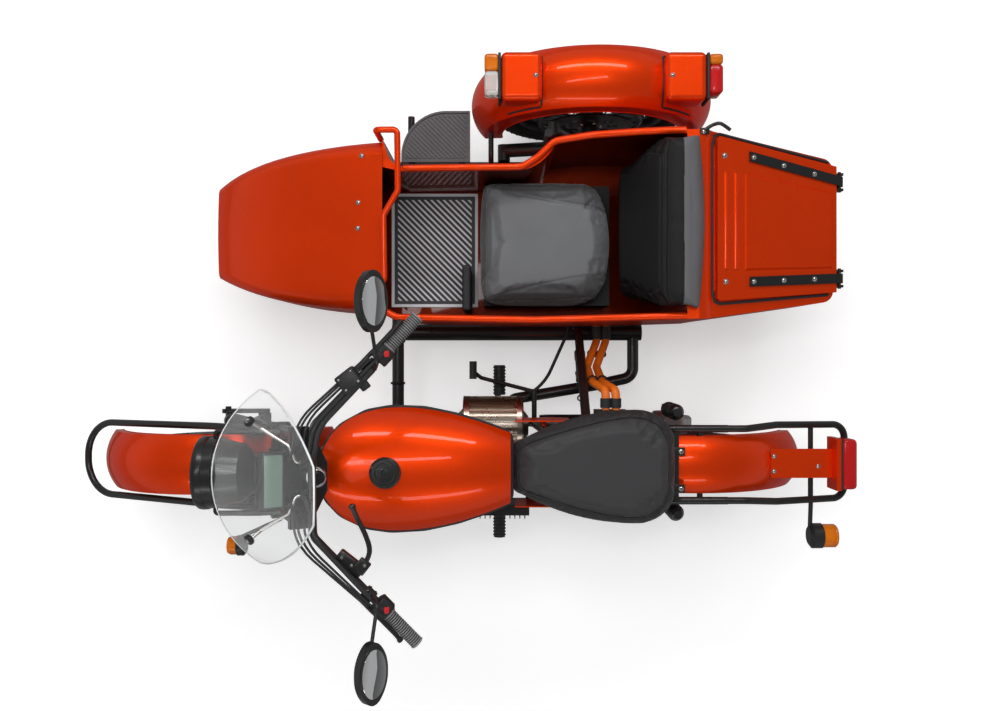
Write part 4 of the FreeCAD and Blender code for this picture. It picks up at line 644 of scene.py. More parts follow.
facing, reach = (step(fitting_tree, "GeometryNodeInputNamedAttribute", {"Name": name},
                      data_type="FLOAT_VECTOR")[0] for name in ("facing", "reach"))
heading = step(fitting_tree, "FunctionNodeAlignRotationToVector", {"Vector": facing}, axis="Z")
placed = step(fitting_tree, "GeometryNodeInstanceOnPoints", {
    "Points": inside["Geometry"], "Instance": chosen.outputs[0], "Rotation": heading[0], "Scale": reach})
close_tree(fitting_tree, placed[0], inside)


def fittings(name, kind, rows, body="chassis", finish="zinc_steel"):
    """A piece of like fittings: rows of a place, a direction, and a radius or three sizes, in mm."""
    mesh = bpy.data.meshes.new(name)
    mesh.from_pydata([Vector(place) * MM for place, _, _ in rows], [], [])
    for title, vectors in (("facing", [Vector(facing).normalized() for _, facing, _ in rows]),
                           ("reach", [Vector((reach,) * 3 if isinstance(reach, (int, float)) else reach) * MM
                                      for _, _, reach in rows])):
        values = mesh.attributes.new(title, "FLOAT_VECTOR", "POINT")
        values.data.foreach_set("vector", [number for row in vectors for number in row])
    print(len(rows), kind, end=" ")
    values = {"Kind": list(FITTINGS).index(kind), "Finish": finishes[finish]}
    return show(name, grown(fitting_tree, mesh, values), finish, body)


def screws(name, rows, body="chassis"):
    """Domed screws set square on a node's surface, seen from above: (node, x, y, radius)."""
    seated = [(*seat_on(surface(node), "+z", x, y), radius) for node, x, y, radius in rows]
    return fittings(name, "dome", seated, body)


# %% [markdown]
# ## Tyres
# A road tyre is a smooth carcass with rows of blocks that lean with the crown.  The carcass
# is turned from one profile with its drainage grooves, and the fitting tree sets the blocks
# round it.

# %% Tyres and tread
BIKE_Y = -371  # the motorcycle's middle plane
AXLE_HEIGHT = 341.5  # also the radius at which the profile below is drawn
WHEELS = {
    # wheel: its body, its middle and the side its brake disc is on
    "front": ("wheel_front", (-814, BIKE_Y, AXLE_HEIGHT), 1),
    "rear": ("wheel_rear", (716, BIKE_Y, AXLE_HEIGHT), -1),
    "sidecar": ("wheel_sidecar", (450, 836, AXLE_HEIGHT), -1),
}
TYRE_PROFILE = [
    # radius, distance from the middle plane
    (246, 36), (258, 39), (266, 47), (283, 51.6), (287, 52.4), (291, 51.8), (300, 51.2), (304, 51.9),
    (308, 51), (316, 49.6), (324, 43), (328, 38.5), (329, 37), (325, 34), (329.5, 31.5), (334, 23),
    (335, 20.5), (331, 18), (336, 15.5), (337.4, 6.5), (337.6, 4), (333, 2), (333, 0),
]
TYRE_INSIDE = [(246, 26), (324, 34), (326, 0)]
BLOCKS_ROUND = 60
BLOCK_SINK = 1.2
CROWN_DROP, TREAD_HALF = 26, 48.5  # how far the crown falls by the edge of the tread
STAGGER = 0.13  # turns the two sides' rows apart, as a share of the space between blocks
TREAD_ROWS = (
    # distance from the middle plane, radius, shift along the row, half sizes of a block
    (0, 341, 0, (8.5, 3.6, 5.2)), (11.5, 339.4, 0.5, (9.5, 4.6, 5.2)), (27, 334.6, 0, (9.2, 5.2, 5.2)),
    (41.5, 326, 0.5, (10.5, 4.2, 5)),
)
for wheel, (body, _, _) in WHEELS.items():
    low, high = corners_of(f"{wheel}_tyre")
    hub = Vector([(a + b) / 2 for a, b in zip(low, high)])
    drop = AXLE_HEIGHT - (high[2] - low[2]) / 2
    ring = [(radius - drop, offset) for radius, offset in TYRE_PROFILE[::-1] + TYRE_INSIDE]
    loop = ring + [(radius, -offset) for radius, offset in ring[::-1]][1:-1]
    make(f"{wheel}_tyre_carcass", "tyre", body, (lathe, loop + loop[:1], hub, (0, 1, 0), 96), (welded,),
         replaced=(f"{wheel}_tyre",), soft_angle=30)
    blocks = []
    for offset, crown, shift, reach in TREAD_ROWS:
        lean = math.atan(2 * CROWN_DROP * offset / TREAD_HALF ** 2)
        for way in ((1, -1) if offset else (1,)):
            for c, s in circle(BLOCKS_ROUND, shift + STAGGER * way):
                around = Vector((c, 0, s))
                facing = around * math.cos(lean) + Vector((0, way, 0)) * math.sin(lean)
                place = hub + around * (crown - drop - BLOCK_SINK) + Vector((0, way * offset, 0))
                blocks.append((place, facing, reach))
    fittings(f"{wheel}_tread", "block", blocks, body, "tyre")

# %% [markdown]
# ## Seats
# A seat is a cover pulled over foam: its top crowns, its sides draw in between the corners
# and seams pull narrow channels.  The plain form is drawn in a little, given an even mesh and
# blown up gently by Cloth pressure, so the cover finds its own roundness.  How far a point
# may move is capped, which keeps the seat the size it came in.

# %% Blow up a cover
HELD_BELOW = 4.0  # the lowest rim of a cover, where it is tacked to its base
PRESSURE = 4.0
CLOTH_FRAMES = 20


def triples(items, field):
    """A field of a mesh's vertices as rows of three numbers."""
    values = np.empty(len(items) * 3)
    items.foreach_get(field, values)
    return values.reshape(-1, 3)


def stuffed(node, drawn_in, cap, voxel=6.0):
    """A node's form as a stuffed cover: a plain mesh in metres."""
    scene = bpy.context.scene
    mesh = nodes[node].data.copy()
    low, high = (Vector(corner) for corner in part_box(node))
    middle = (low + high) / 2
    middle.z = low.z
    scale = [1 - share * drawn_in * MM / (high[axis] - low[axis]) for axis, share in enumerate((2, 2, 1))]
    mesh.transform(Matrix.Translation(middle) @ Matrix.Diagonal((*scale, 1)) @ Matrix.Translation(-middle))
    merged = bmesh.new()
    merged.from_mesh(mesh)
    bmesh.ops.remove_doubles(merged, verts=merged.verts[:], dist=1e-5)
    merged.to_mesh(mesh)
    merged.free()
    cover = new_object("cover", mesh)
    remesh = cover.modifiers.new("Even mesh", "REMESH")
    remesh.mode = "VOXEL"
    remesh.voxel_size = voxel * MM
    cover.data = as_it_stands(cover)
    cover.modifiers.remove(remesh)
    places = triples(cover.data.vertices, "co")
    held = cover.vertex_groups.new(name="held")
    held.add([k for k, z in enumerate(places[:, 2]) if z < low.z + HELD_BELOW * MM], 1.0, "REPLACE")
    cloth = cover.modifiers.new("Cloth", "CLOTH")
    cloth.settings.vertex_group_mass = "held"
    cloth.settings.use_pressure = True
    cloth.settings.uniform_pressure_force = PRESSURE
    cloth.settings.effector_weights.gravity = 0
    cloth.settings.quality = 5
    for number in range(CLOTH_FRAMES):
        scene.frame_set(number + 1)
    move = triples(as_it_stands(cover).vertices, "co") - places
    length = np.linalg.norm(move, axis=1, keepdims=True)
    places = places + move * np.minimum(1, cap * MM / np.maximum(length, 1e-9))
    cover.modifiers.remove(cloth)
    scene.frame_set(1)
    cover.data.vertices.foreach_set("co", places.reshape(-1))
    finer = cover.modifiers.new("Finer", "SUBSURF")
    finer.levels = finer.render_levels = 1
    result = as_it_stands(cover)
    cover.modifiers.remove(finer)
    bpy.data.objects.remove(cover)
    print(node, "cover:", len(result.polygons), "faces")
    return result


def sew(mesh, seams, depth, width):
    """Pull a channel into a cover along its seams."""
    places = triples(mesh.vertices, "co") / MM
    normals = triples(mesh.vertices, "normal")
    nearest = np.full(len(places), 1e9)
    for seam in seams:
        line = np.array([point for point, _ in seam])
        for first, second in zip(line, line[1:]):
            run = second - first
            t = np.clip(((places - first) @ run) / max(run @ run, 1e-9), 0, 1)
            nearest = np.minimum(nearest, np.linalg.norm(places - first - t[:, None] * run, axis=1))
    places -= normals * (depth * np.exp(-(nearest / width) ** 2))[:, None]
    mesh.vertices.foreach_set("co", (places * MM).reshape(-1))


def tone(mesh, inside_of):
    """Mark the part of a mesh that is another cloth or gets a painted highlight, such as the tops of ribs,
    for its finish to read.
    """
    marks = [float(inside_of(vertex.co / MM, vertex.normal)) for vertex in mesh.vertices]
    mesh.attributes.new("panel", "FLOAT", "POINT").data.foreach_set("value", marks)


# %% [markdown]
# Stitches are the same short loop of thread many times along a seam, so a second tree
# lays them: it spaces points on the seam's path and turns a slim bead along it at each.

# %% The tree that stitches a path
STITCH_PITCH = 7.0
THREAD = 0.75
stitch_tree, inside = new_tree("Stitches along a path", Pitch="Float", Thread="Float")
curve = step(stitch_tree, "GeometryNodeMeshToCurve", {"Mesh": inside["Geometry"]})
spaced = step(stitch_tree, "GeometryNodeCurveToPoints", {"Curve": curve[0], "Length": inside["Pitch"]},
              mode="LENGTH")
bead = step(stitch_tree, "GeometryNodeMeshUVSphere", {"Segments": 6, "Rings": 5, "Radius": 1.0})
sizes = step(stitch_tree, "ShaderNodeCombineXYZ", {
    "X": inside["Thread"], "Y": inside["Thread"],
    "Z": math_node(stitch_tree, "MULTIPLY", inside["Pitch"], 0.4)})
heading = step(stitch_tree, "FunctionNodeAlignRotationToVector", {"Vector": spaced["Tangent"]}, axis="Z")
laid = step(stitch_tree, "GeometryNodeInstanceOnPoints", {
    "Points": spaced["Points"], "Instance": bead["Mesh"], "Rotation": heading[0], "Scale": sizes[0]})
close_tree(stitch_tree, laid[0], inside)


def stitches(name, lines):
    """Rows of stitches over lines of (point, normal)."""
    places = []
    edges = []
    for line in lines:
        first = len(places)
        places += [(point + normal * THREAD * 0.4) * MM for point, normal in line]
        edges += [(k, k + 1) for k in range(first, len(places) - 1)]
    mesh = bpy.data.meshes.new(name)
    mesh.from_pydata(places, edges, [])
    values = {"Pitch": STITCH_PITCH * MM, "Thread": THREAD * MM, "Finish": finishes["thread"]}
    return show(name, grown(stitch_tree, mesh, values), "thread")


def inside_polygon(outline, x, y):
    """Whether a point lies in an outline."""
    hit = False
    for (a, b), (c, d) in zip(outline, outline[1:] + outline[:1]):
        if (b > y) != (d > y) and x < (c - a) * (y - b) / (d - b) + a:
            hit = not hit
    return hit


# %% [markdown]
# The saddle is one pear-shaped cover.  A matt band slopes down its sides, and a smoother
# panel lies on top inside a piped edge, with its stitches a little further in.

# %% Saddle
low, high = corners_of("saddle")
middle_y = (low[1] + high[1]) / 2
half = (high[1] - low[1]) / 2
SADDLE_PANEL = [  # from the front end, half the width there
    (22, 50), (40, 68), (110, 95), (200, 122), (290, half - 38), (372, half - 27), (425, half - 36),
    (460, half - 62), (478, half - 104),
]
PIPING = 2.0
STITCH_CENTRE, STITCHES_IN = (420, middle_y), (0.965, 0.945)
panel = [(low[0] + x, middle_y + way * y, 0) for way in (1, -1) for x, y in SADDLE_PANEL[::way]]
panel = [(point.x, point.y) for point in rounded_path(panel, 26, True)]
saddle = stuffed("saddle", 4, 9)
edge = laid_on(mesh_tree(saddle), panel + panel[:1])
sew(saddle, [edge], 2.2, 6)
tone(saddle, lambda place, normal: inside_polygon(panel, place.x, place.y) and normal.z > 0.3)
saddle = show("saddle_cover", saddle, "vinyl", "chassis", ("saddle",), 180)
make("saddle_piping", "vinyl", "chassis",
     (rod, [point + normal * PIPING * 0.35 for point, normal in edge[:-1]], PIPING, 8, True))
inner = [tuple((value - centre) * share + centre
               for value, centre, share in zip(point, STITCH_CENTRE, STITCHES_IN))
         for point in panel + panel[:1]]
stitches("saddle_stitches", [laid_on(mesh_tree(saddle.data), inner)])

# %% [markdown]
# The passenger's cushion has a flat middle panel between two long bolsters.  Two seams on
# each side run from the front corners and draw together towards the back.

# %% Sidecar cushion
low, high = corners_of("seat_cushion")
middle_y = (low[1] + high[1]) / 2
reach_y = (high[1] - low[1]) / 2
CUSHION_SEAMS = [
    # x from the front end, y from the middle as a share of half the width
    [(24, 0.90), (90, 0.80), (190, 0.68), (300, 0.58), (418, 0.50)],
    [(10, 0.93), (120, 0.915), (260, 0.90), (400, 0.86)],
]
FRONT_SEAM = [(22, share) for share in (-0.88, -0.5, 0, 0.5, 0.88)]
cushion = stuffed("seat_cushion", 6, 14)
top = mesh_tree(cushion)
seams = [laid_on(top, [(low[0] + x, middle_y + way * y * reach_y) for x, y in seam])
         for seam in (*CUSHION_SEAMS, FRONT_SEAM) for way in (1, -1)][:-1]
sew(cushion, seams, 3.0, 6)


def on_middle_panel(place, normal):
    """Whether a place lies between the cushion's two inner seams, on top."""
    share = abs(place.y - middle_y) / reach_y
    limit = 0.90 - 0.40 * min(max((place.x - low[0] - 24) / 394, 0), 1) ** 0.8
    return share < limit and normal.z > 0.35 and place.x > low[0] + 22


tone(cushion, on_middle_panel)
cushion = show("sidecar_cushion", cushion, "seat_vinyl", "chassis", ("seat_cushion",), 180)
stitches("cushion_stitches", [
    laid_on(mesh_tree(cushion.data), [(point.x + way * 2, point.y + way * 3.4) for point, _ in seam])
    for seam in seams[:-1] for way in (1, -1)])

# %% [markdown]
# The backrest leans on the bulkhead.  Its front panel is set in by a seam that runs round
# it, and above that a roll turns over the top edge.

# %% Backrest
low, high = corners_of("seat_back")
middle_y = (low[1] + high[1]) / 2
BACK_SEAMS = (
    # y from the middle, z
    ((-165, 560), (-172, 640), (-214, 770), (-196, 826), (196, 826), (214, 770), (172, 640), (165, 560)),
    ((232, 838), (-232, 838)),
)
ROLL_HIGHLIGHT_FROM_X = 678
backrest = stuffed("seat_back", 7, 15, 6.5)
front = mesh_tree(backrest)
seams = [laid_on(front, [(middle_y + y, z) for y, z in seam], "-x") for seam in BACK_SEAMS]
sew(backrest, seams, 3.2, 6.5)
# the roll over the top is marked for a painted highlight
tone(backrest, lambda place, normal: place.x > ROLL_HIGHLIGHT_FROM_X)
backrest = show("sidecar_backrest", backrest, "back_vinyl", "chassis", ("seat_back",), 180)
front = mesh_tree(backrest.data)
stitches("backrest_stitches", [
    laid_on(front, [(point.y, point.z + 4) for point, _ in seam], "-x") for seam in seams])

# %% [markdown]
# ## Lamps
# Each lens stands off its housing on a black gasket.  The coloured lenses and their gaskets
# take the place of the plain lamp blocks.

# %% Marker and tail lamps
MARKER_Z = 698
LAMP_PARTS = (
    # piece, finish, the node it stands for, softened by, (middle, size) of each block
    ("marker_gaskets", "rubber", "marker_lamps", 3,
     (((134.5, 826, MARKER_Z), (9, 144, 88)), ((775.5, 826, MARKER_Z), (9, 144, 88)))),
    ("marker_ambers", "amber_lens", "marker_lamps", 10,
     (((110, 870.5, MARKER_Z), (44, 53, 82)), ((800.5, 880, MARKER_Z), (43, 33, 82)))),
    ("marker_clears", "clear_lens", "marker_lamps", 10, (((110, 809.5, MARKER_Z), (44, 67, 82)),)),
    ("marker_reds", "red_lens", "marker_lamps", 10, (((800.5, 819, MARKER_Z), (43, 87, 82)),)),
    ("tail_gasket", "rubber", "tail_lamp", 3, (((1201, BIKE_Y, 655), (8, 162, 82)),)),
    ("tail_lens", "red_lens", "tail_lamp", 13, (((1227, BIKE_Y, 655), (48, 158, 78)),)),
)
for name, finish, node, bevel, blocks in LAMP_PARTS:
    make(name, finish, "chassis", *((box_plate, middle, extent, bevel) for middle, extent in blocks),
         replaced=(node,))

# %% Turn lamps
TURN_LAMPS = (
    # piece, body, middle of the lamp's back face, which way it looks, radius, depths of body and
    # lens, the stalk's two ends and radius
    ("rear_turn_lamp", "chassis", (1126, -609, 606), 1, 40, 40, 48,
     [(1130, -502, 616), (1130, -577, 608)], 7),
    ("front_turn_lamp", "steering", (-608, -589, 850), -1, 30, 26, 29,
     [(-507, -512.4, 846), (-628, -566, 850)], 6),
)
for name, body, place, way, radius, depth, lens_depth, stalk, thick in TURN_LAMPS:
    node = name.replace("turn_lamp", "indicator")
    case = [(0, 0), (radius * 0.7, 0), (radius, 9), (radius, depth), (radius - 3, depth + 2), (0, depth + 2)]
    make(f"{name}_case", "black_plastic", body, (lathe, case, place, (way, 0, 0), 40), (rod, stalk, thick),
         replaced=(node,))
    place = (place[0] + way * (depth + 1), *place[1:])
    rings = [(radius - 2.5 - (number % 2) * 1.2, 4 * number) for number in range(int(lens_depth / 4) - 1)]
    glass = [(0, 0), *rings, (radius - 7, lens_depth - 2), (radius * 0.5, lens_depth), (0, lens_depth)]
    make(f"{name}_lens", "amber_lens", body, (lathe, glass, place, (way, 0, 0), 40), replaced=(node,))

# %% [markdown]
# ## Trunk lid
# The lid closes on a black seal, is held by two locks and opened by a bent handle.  Its two
# straps are bolted down and end round the hinge pins.

# %% Seal, straps' screws and locks
SEAL_PATH = [(1168, 577), (803, 641), (786, 634), (778, 600), (778, 166), (786, 133), (803, 126), (1168, 160)]
STRAP_X, STRAP_RUN = 894, 310  # where the straps start and how long they are
STRAP_LINES = ((574, 514), (193, 211))  # each strap's y at its two ends
make("lid_seal", "rubber", "chassis", (along_surface, "sidecar_tub", SEAL_PATH, 5, 0.5))
screws("strap_screws", [("lid_straps", x, start + (stop - start) * (x - STRAP_X) / STRAP_RUN, 9)
                        for start, stop in STRAP_LINES for x in (908, 1008, 1112)], "lid")
screws("lid_locks", [("trunk_lid", 814, 572, 10), ("trunk_lid", 818, 192, 10)], "lid")
screws("nose_screws", [("sidecar_tub", x, y, 9) for x, y in ((-297, 594), (-307, 447), (-308, 366))])

foot, _ = seat_on(surface("sidecar_tub"), "+z", 752, 640)
LEVER = ((2, 8, 7), (19, 20, 9), (42, 27, 11), (56, 20, 10), (76, 6, 8))
make("cockpit_lever", "black_metal", "chassis", (box_plate, foot + Vector((0, 4, 3)), (28, 20, 7), 2),
     (rod, rounded_path([foot + Vector(shift) for shift in LEVER], 10), 5.5))
fittings("lever_screw", "dome", [(foot + Vector((-4, 2, 6.4)), (0, 0, 1), 7)])

# %% [markdown]
# ## Beads, seams and bands on the bodywork
# Pressed panels end in a rolled bead.  A dark band runs round the tank below its widest
# line, and the tank's cap has two rings.

# %% Bodywork edges
FENDERS = (
    # node, body, axle line (x, z), middle plane, lip radius, half width, middle angle and sweep
    ("front_fender", "steering", (-814, AXLE_HEIGHT), BIKE_Y, 339, 90, 80, 156),
    ("rear_fender", "chassis", (750, 309.5), BIKE_Y, 360, 87, 83, 114),
    ("sidecar_fender", "chassis", (450, AXLE_HEIGHT), 836, 309, 94, 90, 192),
)
for node, body, (x, z), y, radius, half, middle, sweep in FENDERS:
    turns = [math.radians(middle - sweep / 2 + sweep * k / 40) for k in range(41)]
    lip = [(x + radius * math.cos(turn), z + radius * math.sin(turn)) for turn in turns]
    make(f"{node}_beads", "orange_paint", body,
         *((rod, [(ahead, side, above) for ahead, above in lip], 4) for side in (y - half, y + half)))

TANK_EDGE = [(-376, 853), (-335, 828), (-262, 807), (-190, 794), (-90, 787), (10, 784), (90, 779), (158, 768)]
BAND_STANDS_OFF = 4
seats = (seat_on(surface("tank"), "+y", x, z) for x, z in TANK_EDGE)
flank = [point + normal * BAND_STANDS_OFF for point, normal in seats] + [Vector((172, -283, 767))]
far_flank = [Vector((x, 2 * BIKE_Y - y, z)) for x, y, z in flank[::-1]]
make("tank_band", "rubber", "chassis", (rod, rounded_path(flank + far_flank, 16, True), 6, 10, True))
make("tank_cap_rings", "black_metal", "chassis", *(
    (hoop, (-197, BIKE_Y, height), (0, 0, 1), radius, 1.8)
    for radius, height in ((44, 898), (29, 903), (10, 905))))
screws("tail_screws", [("tail_lamp_bracket", x, y, 8) for x, y in ((1000, -349), (1000, -396), (1139, -380))])
LUG_LINES = (-326, -440)
make("saddle_lugs", "black_metal", "chassis", *(
    (box_plate, (684, y, 731.5), (40, 26, 7), 2) for y in LUG_LINES))
fittings("saddle_bolts", "hex", [((692, y, 735.4), (0, 0, 1), 8.5) for y in LUG_LINES])

# %% [markdown]
# ## Controls and screen
# These pieces turn with the bars.  Their places are given along the steering stem, the way
# the bar itself is drawn: forward, across and up from where the stem meets the upper yoke.

# %% The stem's frame and the bar's line
STEM = Matrix.Translation((-369, BIKE_Y, 1000)) @ Matrix.Rotation(math.radians(28), 4, "Y")
STEM_UP = STEM.to_3x3() @ Vector((0, 0, 1))
BAR_ROUTE = ((-24, 70, 26), (-30, 150, 54), (123, 328, 133), (226, 444, 165))


def bar_points(way):
    """The bar's corners on one side, from the riser to the grip's end."""
    return [Vector((x, y * way, z)) for x, y, z in BAR_ROUTE]


def stem_rod(shape, points, bend, radius, sides=12):
    """A bent rod whose corners are given along the stem."""
    rod(shape, [STEM @ point for point in rounded_path(points, bend)], radius, sides)


print("grip ends", [tuple(round(value) for value in STEM @ bar_points(way)[-1]) for way in (1, -1)])

# %% Grips, switch boxes and levers
GRIP_RIBS = [(-6 - 6.5 * number, 17.4, 1.7) for number in range(16)] + [(-112, 18, 4.5), (1, 16.5, 3.2)]
grips, boxes, caps, tubes, levers = (bmesh.new() for _ in range(5))
for way in (1, -1):
    riser, bend, shoulder, tip = bar_points(way)
    along = (tip - shoulder).normalized()
    outward = STEM.to_3x3() @ along
    for shift, radius, thick in GRIP_RIBS:
        hoop(grips, STEM @ (tip + along * shift), outward, radius, thick, 24)
    box_place = tip - along * 136
    octagon = [(31 * c, 31 * s) for c, s in circle(8, 0.5)]
    plate(boxes, octagon, -23, 21, 4, turned_to(outward, STEM @ box_place))
    for shape, shift, place, extent in (
            (caps, 0, (0, 0, 29), (17, 14, 9)), (boxes, -12, (-12, 0, 27), (13, 8, 7)),
            (boxes, 12, (-12, 0, 27), (13, 8, 7))):
        place = STEM @ (box_place + along * shift + Vector(place))
        box_plate(shape, (0, 0, 0), extent, 2, turned_to(STEM_UP, place))
    slope = (shoulder - bend).normalized()
    foot = shoulder - slope * 30
    root = foot + Vector((-36, 0, 4))
    blade = [root, root + along * 60, root + along * 120 + Vector((4, 0, 2)), root + along * 172]
    stem_rod(levers, blade, 20, 6.5)
    lathe(levers, [(0, -8), (8, -5), (9, 0), (8, 5), (0, 8)], STEM @ (root + along * 170), outward, 20)
    for shift in (-9, 9):
        hoop(levers, STEM @ (foot + slope * shift), STEM.to_3x3() @ slope, 15, 4.5, 20)
    hose = [box_place + Vector((-6, 0, 26)), foot + Vector((-12, 0, 27)), bend + Vector((-8, 0, 26)),
            riser + Vector((-14, 0, 22)), Vector((-44, 40 * way, 4)), Vector((-62, 44 * way, -70))]
    stem_rod(tubes, hose, 40, 6.5)
    if way == 1:
        second = [point + Vector((12, -4, 6)) for point in hose[1:5]] + [Vector((-52, 24, -60))]
        stem_rod(tubes, second, 40, 8)
show("grip_ribs", grips, "grip_rubber", "steering")
show("switch_boxes", boxes, "black_plastic", "steering")
show("switch_caps", caps, "red_switch", "steering")
show("bar_hoses", tubes, "rubber", "steering", (), 60)
show("levers", levers, "black_metal", "steering")

RESERVOIR = (((0, 0, 0), (62, 56, 30), 6), ((0, 0, 17), (54, 48, 6), 2), ((22, -30, -8), (26, 34, 22), 4))
turned = Matrix.Translation((-268, -98, 1084)) @ Matrix.Rotation(math.radians(38), 4, "Z")
make("brake_reservoir", "black_plastic", "steering", *((box_plate, *row, turned) for row in RESERVOIR))
fittings("reservoir_screws", "dome", [
    (turned @ Vector((x, y, 20)), (0, 0, 1), 3.2) for x in (-20, 20) for y in (-17, 17)], "steering")

# %% Mirrors
glass, rims = bmesh.new(), bmesh.new()
for way in (1, -1):
    stand = STEM @ Matrix.Translation((68, way * 480.4, 240)) @ Matrix.Rotation(math.radians(22), 4, "Y")
    oval = [(42 * c, 64 * s) for c, s in circle(40)]
    plate(glass, oval, 9.5, 13, 1, stand)
    rod(rims, [stand @ Vector((x * 1.06, y * 1.05, 11)) for x, y in oval], 3.2, 8, True)
show("mirror_glasses", glass, "mirror_glass", "steering")
show("mirror_rims", rims, "black_plastic", "steering")

# %% Display, steering nut and yoke bolts
DISPLAY_PARTS = (
    # piece, finish, from and to ahead, half the width, low, high, bevel
    ("display_bezel", "black_plastic", -155, -95, 75, 9.6, 12.6, 1.4),
    ("display_glass", "display_glass", -151, -101, 70, 10, 14, 1.2),
)
for name, finish, ahead, behind, across, low, high, bevel in DISPLAY_PARTS:
    outline = [(ahead, -across), (behind, -across), (behind, across), (ahead, across)]
    make(name, finish, "steering", (plate, outline, low, high, bevel, STEM))
fittings("display_buttons", "dome", [(STEM @ Vector((-97.5, y, 12.4)), STEM_UP, (3, 5, 3))
                                     for y in (-40, -14, 14, 40)], "steering", "black_plastic")
NUT_PROFILE = [(0, -24), (27, -24), (29, -20), (29, -14), (24, -9), (17, -7), (15, 0), (10, 4), (0, 5)]
make("steering_nut", "chrome", "steering", (lathe, NUT_PROFILE, STEM.translation, STEM_UP, 40))
fittings("yoke_bolts", "socket", [
    (STEM @ Vector((x, way * y, -23.4)), STEM_UP, radius)
    for way in (1, -1) for x, y, radius in ((-45, 118, 14), (-24, 46, 9))], "steering")

# %% Headlamp
HEADLAMP = Vector((-725, BIKE_Y, 880))
RING_PROFILE = [(94, -2), (97, -7), (102, -8), (106, -3), (107, 6), (106, 18), (103.5, 22), (102, 22),
                (98, 2), (94, -2)]
RIPPLES = [(radius, -11 + (radius / 96) ** 2 * 9 - (number % 2) * 0.7)
           for number, radius in enumerate(range(8, 97, 4))]
LENS_PROFILE = [(0, -11), *RIPPLES, (96, 3), (0, 3)]
make("headlamp_ring", "black_metal", "steering", (lathe, RING_PROFILE, HEADLAMP, (1, 0, 0), 72), (welded,))
make("headlamp_lens", "clear_lens", "steering", (lathe, LENS_PROFILE, HEADLAMP, (1, 0, 0), 72))

# %% [markdown]
# The screen is a piece of a leaning drum.  Its cut edge catches the light, and it stands on
# two rods whose ends are held in rubber.

# %% Screen edge and mounts
SCREEN_AXIS = Vector((-438, BIKE_Y, 772))
SCREEN_RADIUS = 318
AHEAD = Vector((-1, 0, 1)).normalized()
UPWARD = Vector((1, 0, 1)).normalized()
SCREEN_CORNERS = [
    # a corner in plan, then the radius of the bow to the next corner and how many steps it takes
    ((-543, -243), 302, 24), ((-543, 243), 90, 4), ((-494, 231), 420, 14),
    ((-313, 70), 600, 8), ((-313, -70), 420, 14), ((-494, -231), 90, 4),
]


def to_wall(y):
    """From the screen's axis to the middle of its wall, at a distance from the middle plane."""
    return AHEAD * math.sqrt(SCREEN_RADIUS ** 2 - y * y) + Vector((0, y, 0))


def on_screen(x, y):
    """The middle of the screen's wall above a point in plan."""
    wall = SCREEN_AXIS + to_wall(y)
    return wall + UPWARD * ((x - wall.x) / UPWARD.x)


def bowed(start, stop, radius, steps):
    """Points along an arc between two points in plan, bowed to the left of the way it runs."""
    start, stop = Vector(start), Vector(stop)
    chord = stop - start
    left = Vector((-chord.y, chord.x)).normalized()
    centre = start + chord / 2 - left * math.sqrt(radius ** 2 - (chord.length / 2) ** 2)
    half = math.asin(chord.length / 2 / radius)
    turns = [math.atan2(left.y, left.x) + half * (1 - 2 * k / steps) for k in range(steps)]
    return [centre + radius * Vector((math.cos(turn), math.sin(turn))) for turn in turns]


pairs = zip(SCREEN_CORNERS, SCREEN_CORNERS[1:] + SCREEN_CORNERS[:1])
edge = [on_screen(*point) for (start, radius, steps), (stop, _, _) in pairs
        for point in bowed(start, stop, radius, steps)]
make("screen_edge", "screen_edge", "steering", (rod, edge, 2.8, 8, True), soft_angle=60)
MOUNT_PROFILE = [(0, -9), (12, -9), (15, -6), (15, 5), (12, 8), (0, 8)]
mounts = [(SCREEN_AXIS + UPWARD * 124 + to_wall(y), to_wall(y).normalized()) for y in (160, -160)]
make("screen_mounts", "rubber", "steering", *((lathe, MOUNT_PROFILE, *mount, 28) for mount in mounts))
fittings("screen_screws", "dome", [(middle + normal * 8, normal, 8) for middle, normal in mounts], "steering")

# %% Cables round the head and the parking lever
PARKING_PATH = [(-226, -590, 1072), (-212, -556, 1076), (-228, -506, 1081), (-250, -466, 1080),
                (-262, -438, 1077)]
cables = bmesh.new()
for way in (1, -1):
    _, bend, shoulder, _ = bar_points(way)
    for number, (spread, drop) in enumerate(((0, 0), (16, 26), (30, 8))):
        stem_rod(cables, [shoulder + Vector((-20 - spread * 0.4, way * 6, 20 - number * 9)),
                          bend + Vector((-26 - spread, way * 14, 18 + number * 5)),
                          Vector((-46 - spread, way * (84 - spread), 22 - drop)),
                          Vector((-70 - spread * 0.5, way * 52, -60 - drop)),
                          Vector((-66, way * (30 + number * 9), -150))], 60, 3.4, 8)
show("bar_cables", cables, "rubber", "steering", (), 60)
perch = Matrix.Translation((-268, -592, 1066)) @ Matrix.Rotation(math.radians(-38), 4, "Z")
make("parking_lever", "black_metal", "steering", (box_plate, (0, 0, 0), (84, 34, 24), 5, perch),
     (box_plate, (30, 14, 8), (34, 40, 16), 4, perch), (rod, rounded_path(PARKING_PATH, 22), 7),
     (lathe, [(0, -9), (8, -6), (10, 0), (8, 6), (0, 9)], PARKING_PATH[-1], (-0.4, 0.9, 0), 20))
fittings("perch_screws", "socket", [
    (perch @ Vector(place), (0, 0, 1), 5) for place in ((-28, 0, 12), (6, 0, 12), (34, 22, 16))], "steering")

# %% [markdown]
# ## Springs
# A coil spring is one circle carried along a spiral, so it is a small Geometry Nodes tree
# with the spring's own sizes as inputs.

